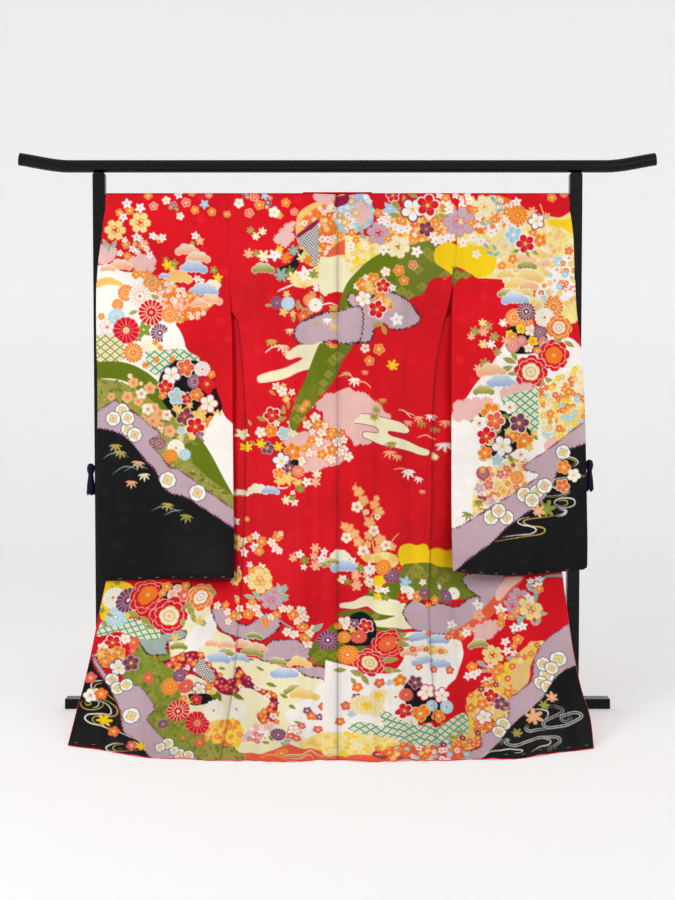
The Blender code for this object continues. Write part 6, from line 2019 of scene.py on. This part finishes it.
mum white/cream/coral: 145 1422 26
plum orange/honey/cream: 157 1374 19
mum coral/rose/cream: 172 1420 20
plum plum/lilac/honey: 199 1380 22
plum white/scarlet/honey: 227 1415 25, 269 1429 25
mum sky/white/coral: 238 1458 16, 281 1463 19
plum scarlet/white/honey: 165 1468 25
plum orange/honey/cream: 209 1473 25, 255 1488 20
plum coral/scarlet/cream: 268 1517 13, 230 1517 10
mum white/cream/coral: 182 1501 19
patch cream: 24 1508, 44 1493, 76 1490, 115 1499, 104 1455, 127 1462, 169 1504, 229 1508, 246 1523,
 298 1494, 335 1481, 339 1539, 290 1567, 239 1577, 191 1579, 149 1567, 117 1537, 51 1527
lattice teal 0.027 0.0032 0 coral
patch pale_yellow: -31 1520, 43 1527, 117 1535, 148 1573, 87 1598, -30 1602
mass yellow/pale_yellow/cream/honey 0.015 49 plum/star/round 0.2
mass honey/orange/wine/coral/cream/yellow 0.018 50 plum/star/cherry 0.0: 340 1436, 380 1407, 429 1369,
 471 1334, 526 1294, 567 1287, 531 1340, 487 1422, 456 1448, 441 1505, 408 1541, 376 1547, 368 1577,
 317 1592, 290 1570, 336 1536
patch honey: 466 1372, 496 1345, 519 1353, 507 1406, 469 1416
hatch blue 0.006 0.0005 0.6
plum scarlet/white/honey: 407 1436 23
plum orange/honey/cream: 453 1425 16, 381 1460 18, 349 1467 15
plum plum/lilac/honey: 431 1457 21
star honey/cream: 420 1489 20, 356 1488 17
plum white/rose/honey: 382 1497 23
plum orange/coral/cream: 394 1526 18
leaf olive/cream: 313 1538 14 20, 445 1470 11 20, 291 1554 17 0
tied-patch lilac/plum: 641 1237, 694 1215, 670 1376, 634 1366, 594 1384, 562 1420, 542 1448, 501 1482,
 461 1507, 433 1541, 407 1579, 369 1617, 299 1619, 308 1599, 364 1588, 372 1551, 408 1538, 439 1507,
 453 1461, 453 1444, 487 1423, 520 1397, 535 1340, 570 1287, 602 1262
tile honey: 598 1341 22 25, 560 1387 20 25, 542 1407 19 20, 430 1514 19 25
tile peach: 557 1354 20 25, 577 1366 18 25, 558 1419 18 20, 416 1539 18 20
patch black: 634 1366, 718 1348, 703 1669, 346 1641, 369 1617, 407 1579, 433 1541, 461 1507, 501 1482,
 542 1448, 562 1420, 594 1384
stream white 0 1.4: 503 1483 1, 527 1482 1, 545 1486 1, 547 1498 1, 538 1510 1
stream white/white 6 0.95: 544 1475 1, 567 1475 1, 586 1483 1, 580 1495 1, 557 1507 1, 537 1516 1,
 530 1527 1, 541 1538 1, 569 1538 1, 599 1529 1, 624 1516 1, 631 1505 1, 621 1497 1, 601 1497 1,
 582 1505 1, 581 1517 1, 592 1520 1, 604 1513 1, 597 1507 1
stream white/white 6 1.0: 494 1522 1, 486 1532 1, 493 1542 1, 514 1544 1, 540 1541 1
stream white/white 6 0.95: 416 1577 1, 421 1567 1, 437 1563 1, 430 1573 1, 445 1579 1, 480 1574 1,
 513 1570 1, 546 1569 1, 566 1574 1, 569 1588 1, 554 1599 1, 541 1605 1, 543 1614 1
stream white 0 1.4: 529 1574 1, 545 1580 1, 540 1592 1, 515 1599 1, 494 1607 1
stream white 0 1.4: 360 1613 1, 395 1601 1, 432 1592 1, 464 1592 1, 470 1599 1, 449 1602 1
maple peach/honey: 565 1451 18 0, 507 1504 28 60
maple olive/honey: 540 1472 16 30, 461 1542 16 40
patch coral: 96 1571, 200 1576, 309 1576, 303 1620, 94 1614
mass orange/honey/wine/white/sky 0.016 51 plum/star 0.1
"""

# The pieces
body_silk = Silk(-0.72, 0.72, 1.64)
paint(body_silk, BODY, 5)
# Painted shade darkened into the print: a thin dark line and a soft wider shadow along the centre seam, and
# along each side seam a soft shadow on one side and a thin dark line
painted_seam_shade(body_silk, lambda down: 0 * down, 0.0026, 0.27)
painted_seam_shade(body_silk, lambda down: 0 * down, 0.016, 0.12)
for side in (-1, 1):
    def edge(down, side=side):
        return back_point(side, np.ones(len(down)), np.clip(down, 0, LENGTH))[:, 0]
    painted_seam_shade(body_silk, edge, 0.014, 0.10, side)
    painted_seam_shade(body_silk, edge, 0.0028, 0.16)
sleeve_silk = {-1: Silk(-0.70, -0.27, 1.06), 1: Silk(0.27, 0.71, 1.06)}
paint(sleeve_silk[-1], LEFT_SLEEVE, 7)
paint(sleeve_silk[1], RIGHT_SLEEVE, 9)
looks = (printed_silk(), red_lining())
thread_look = basting_thread()


def threads(lines, node, pitch):
    """Basting on the cloth that stands for a node."""
    thing = basting("basting_" + node, lines, pitch, thread_look)
    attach(thing, "root")
    return thing


for side in (-1, 1):
    name = side_name(side)
    thing = body(side, body_silk, looks)
    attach(thing, "root")
    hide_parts("back_" + name, "front_" + name)
    "back_" + name
    sewing = threads(body_basting(side), "back_" + name, BODY_PITCH)
    thing = okumi(side, body_silk, looks)
    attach(thing, "root")
    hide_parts("okumi_" + name)
    "okumi_" + name
    sewing = threads(okumi_basting(side), "okumi_" + name, OKUMI_PITCH)
    thing = sleeve(side, sleeve_silk[side], looks)
    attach(thing, "root")
    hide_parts("sleeve_%s_near" % name, "sleeve_%s_far" % name)
    "sleeve_%s_near" % name
    sewing = threads(sleeve_basting(side), "sleeve_%s_near" % name, SLEEVE_PITCH)
thing = collar(body_silk, looks)
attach(thing, "root")
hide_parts("collar")

lacquer = black_lacquer()
cord = purple_cord()
for thing in bpy.context.scene.objects:
    kind = thing.get("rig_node") or thing.name
    if thing.type != "MESH":
        continue
    if kind.startswith("tassel"):
        thing.data.materials.clear()
        thing.data.materials.append(cord)
    elif kind.startswith(("top_rail", "post", "base", "foot", "hanging")):
        thing.data.materials.clear()
        thing.data.materials.append(lacquer)


# The room, the lights and the camera
def plain(name, colour, rough, glow):
    """An even finish with some glow of its own."""
    look = Look(name, Roughness=rough, Specular_IOR_Level=0.1)
    look.shader.inputs["Base Color"].default_value = linear(colour)
    look.shader.inputs["Emission Color"].default_value = linear(colour)
    look.shader.inputs["Emission Strength"].default_value = glow
    return look.material


def room():
    """A pale round floor that turns up into a wall, far enough out to walk round the stand inside it."""
    flat_out, bend_radius, wall_top, count = 5.0, 1.5, 6.0, 96
    profile = [(2.0, 0.0), (flat_out, 0.0)]
    for a in np.linspace(0.1, np.pi / 2, 10):
        profile.append((flat_out + bend_radius * np.sin(a), bend_radius - bend_radius * np.cos(a)))
    profile.append((flat_out + bend_radius, wall_top))
    turn = np.linspace(0, 2 * np.pi, count, endpoint=False)
    points = [(0.0, 0.0, 0.0)]
    points += [(r * np.cos(a), r * np.sin(a), z) for r, z in profile for a in turn]
    faces = [(0, 1 + i, 1 + (i + 1) % count) for i in range(count)]
    for ring in range(len(profile) - 1):
        near = 1 + ring * count
        faces += [(near + i, near + count + i, near + count + (i + 1) % count, near + (i + 1) % count)
                  for i in range(count)]
    mesh = bpy.data.meshes.new("studio floor")
    mesh.from_pydata(points, [], faces)
    mesh.shade_smooth()
    mesh.materials.append(plain("studio white", (0.93, 0.93, 0.93), 0.8, 0.27))
    placed("studio_floor", mesh)


def soft_light(name, place, target, width, height, power):
    lamp = bpy.data.lights.new(name, "AREA")
    lamp.shape = "RECTANGLE"
    lamp.size = width
    lamp.size_y = height
    lamp.energy = power
    thing = placed(name, lamp)
    thing.location = place
    thing.rotation_euler = (Vector(target) - Vector(place)).to_track_quat("-Z", "Y").to_euler()


room()
soft_light("key", (-3.4, -3.4, 2.9), (0, 0, 0.8), 1.7, 1.9, 74)
soft_light("fill", (2.8, -4.2, 2.4), (0, 0, 0.8), 2.6, 2.6, 24)
soft_light("top", (0, -0.8, 4.2), (0, 0, 0.6), 3.6, 2.4, 22)
world = bpy.data.worlds.new("even light")
world.use_nodes = True
world.node_tree.nodes["Background"].inputs["Color"].default_value = (1, 1, 1, 1)
world.node_tree.nodes["Background"].inputs["Strength"].default_value = 0.34
bpy.context.scene.world = world
bpy.context.scene.view_settings.view_transform = "Standard"

LOOKS_DOWN = 2.65  # degrees
camera = bpy.data.cameras.new("camera")
camera.lens = 58.04
camera.sensor_width = 36.0
camera.clip_start = 0.05
camera.clip_end = 60.0
eye = placed("camera", camera)
eye.location = (0.0, -4.0, 0.902)
eye.rotation_euler = (np.radians(90 - LOOKS_DOWN), 0, 0)
bpy.context.scene.camera = eye
bpy.context.scene.render.resolution_x = 675
bpy.context.scene.render.resolution_y = 900
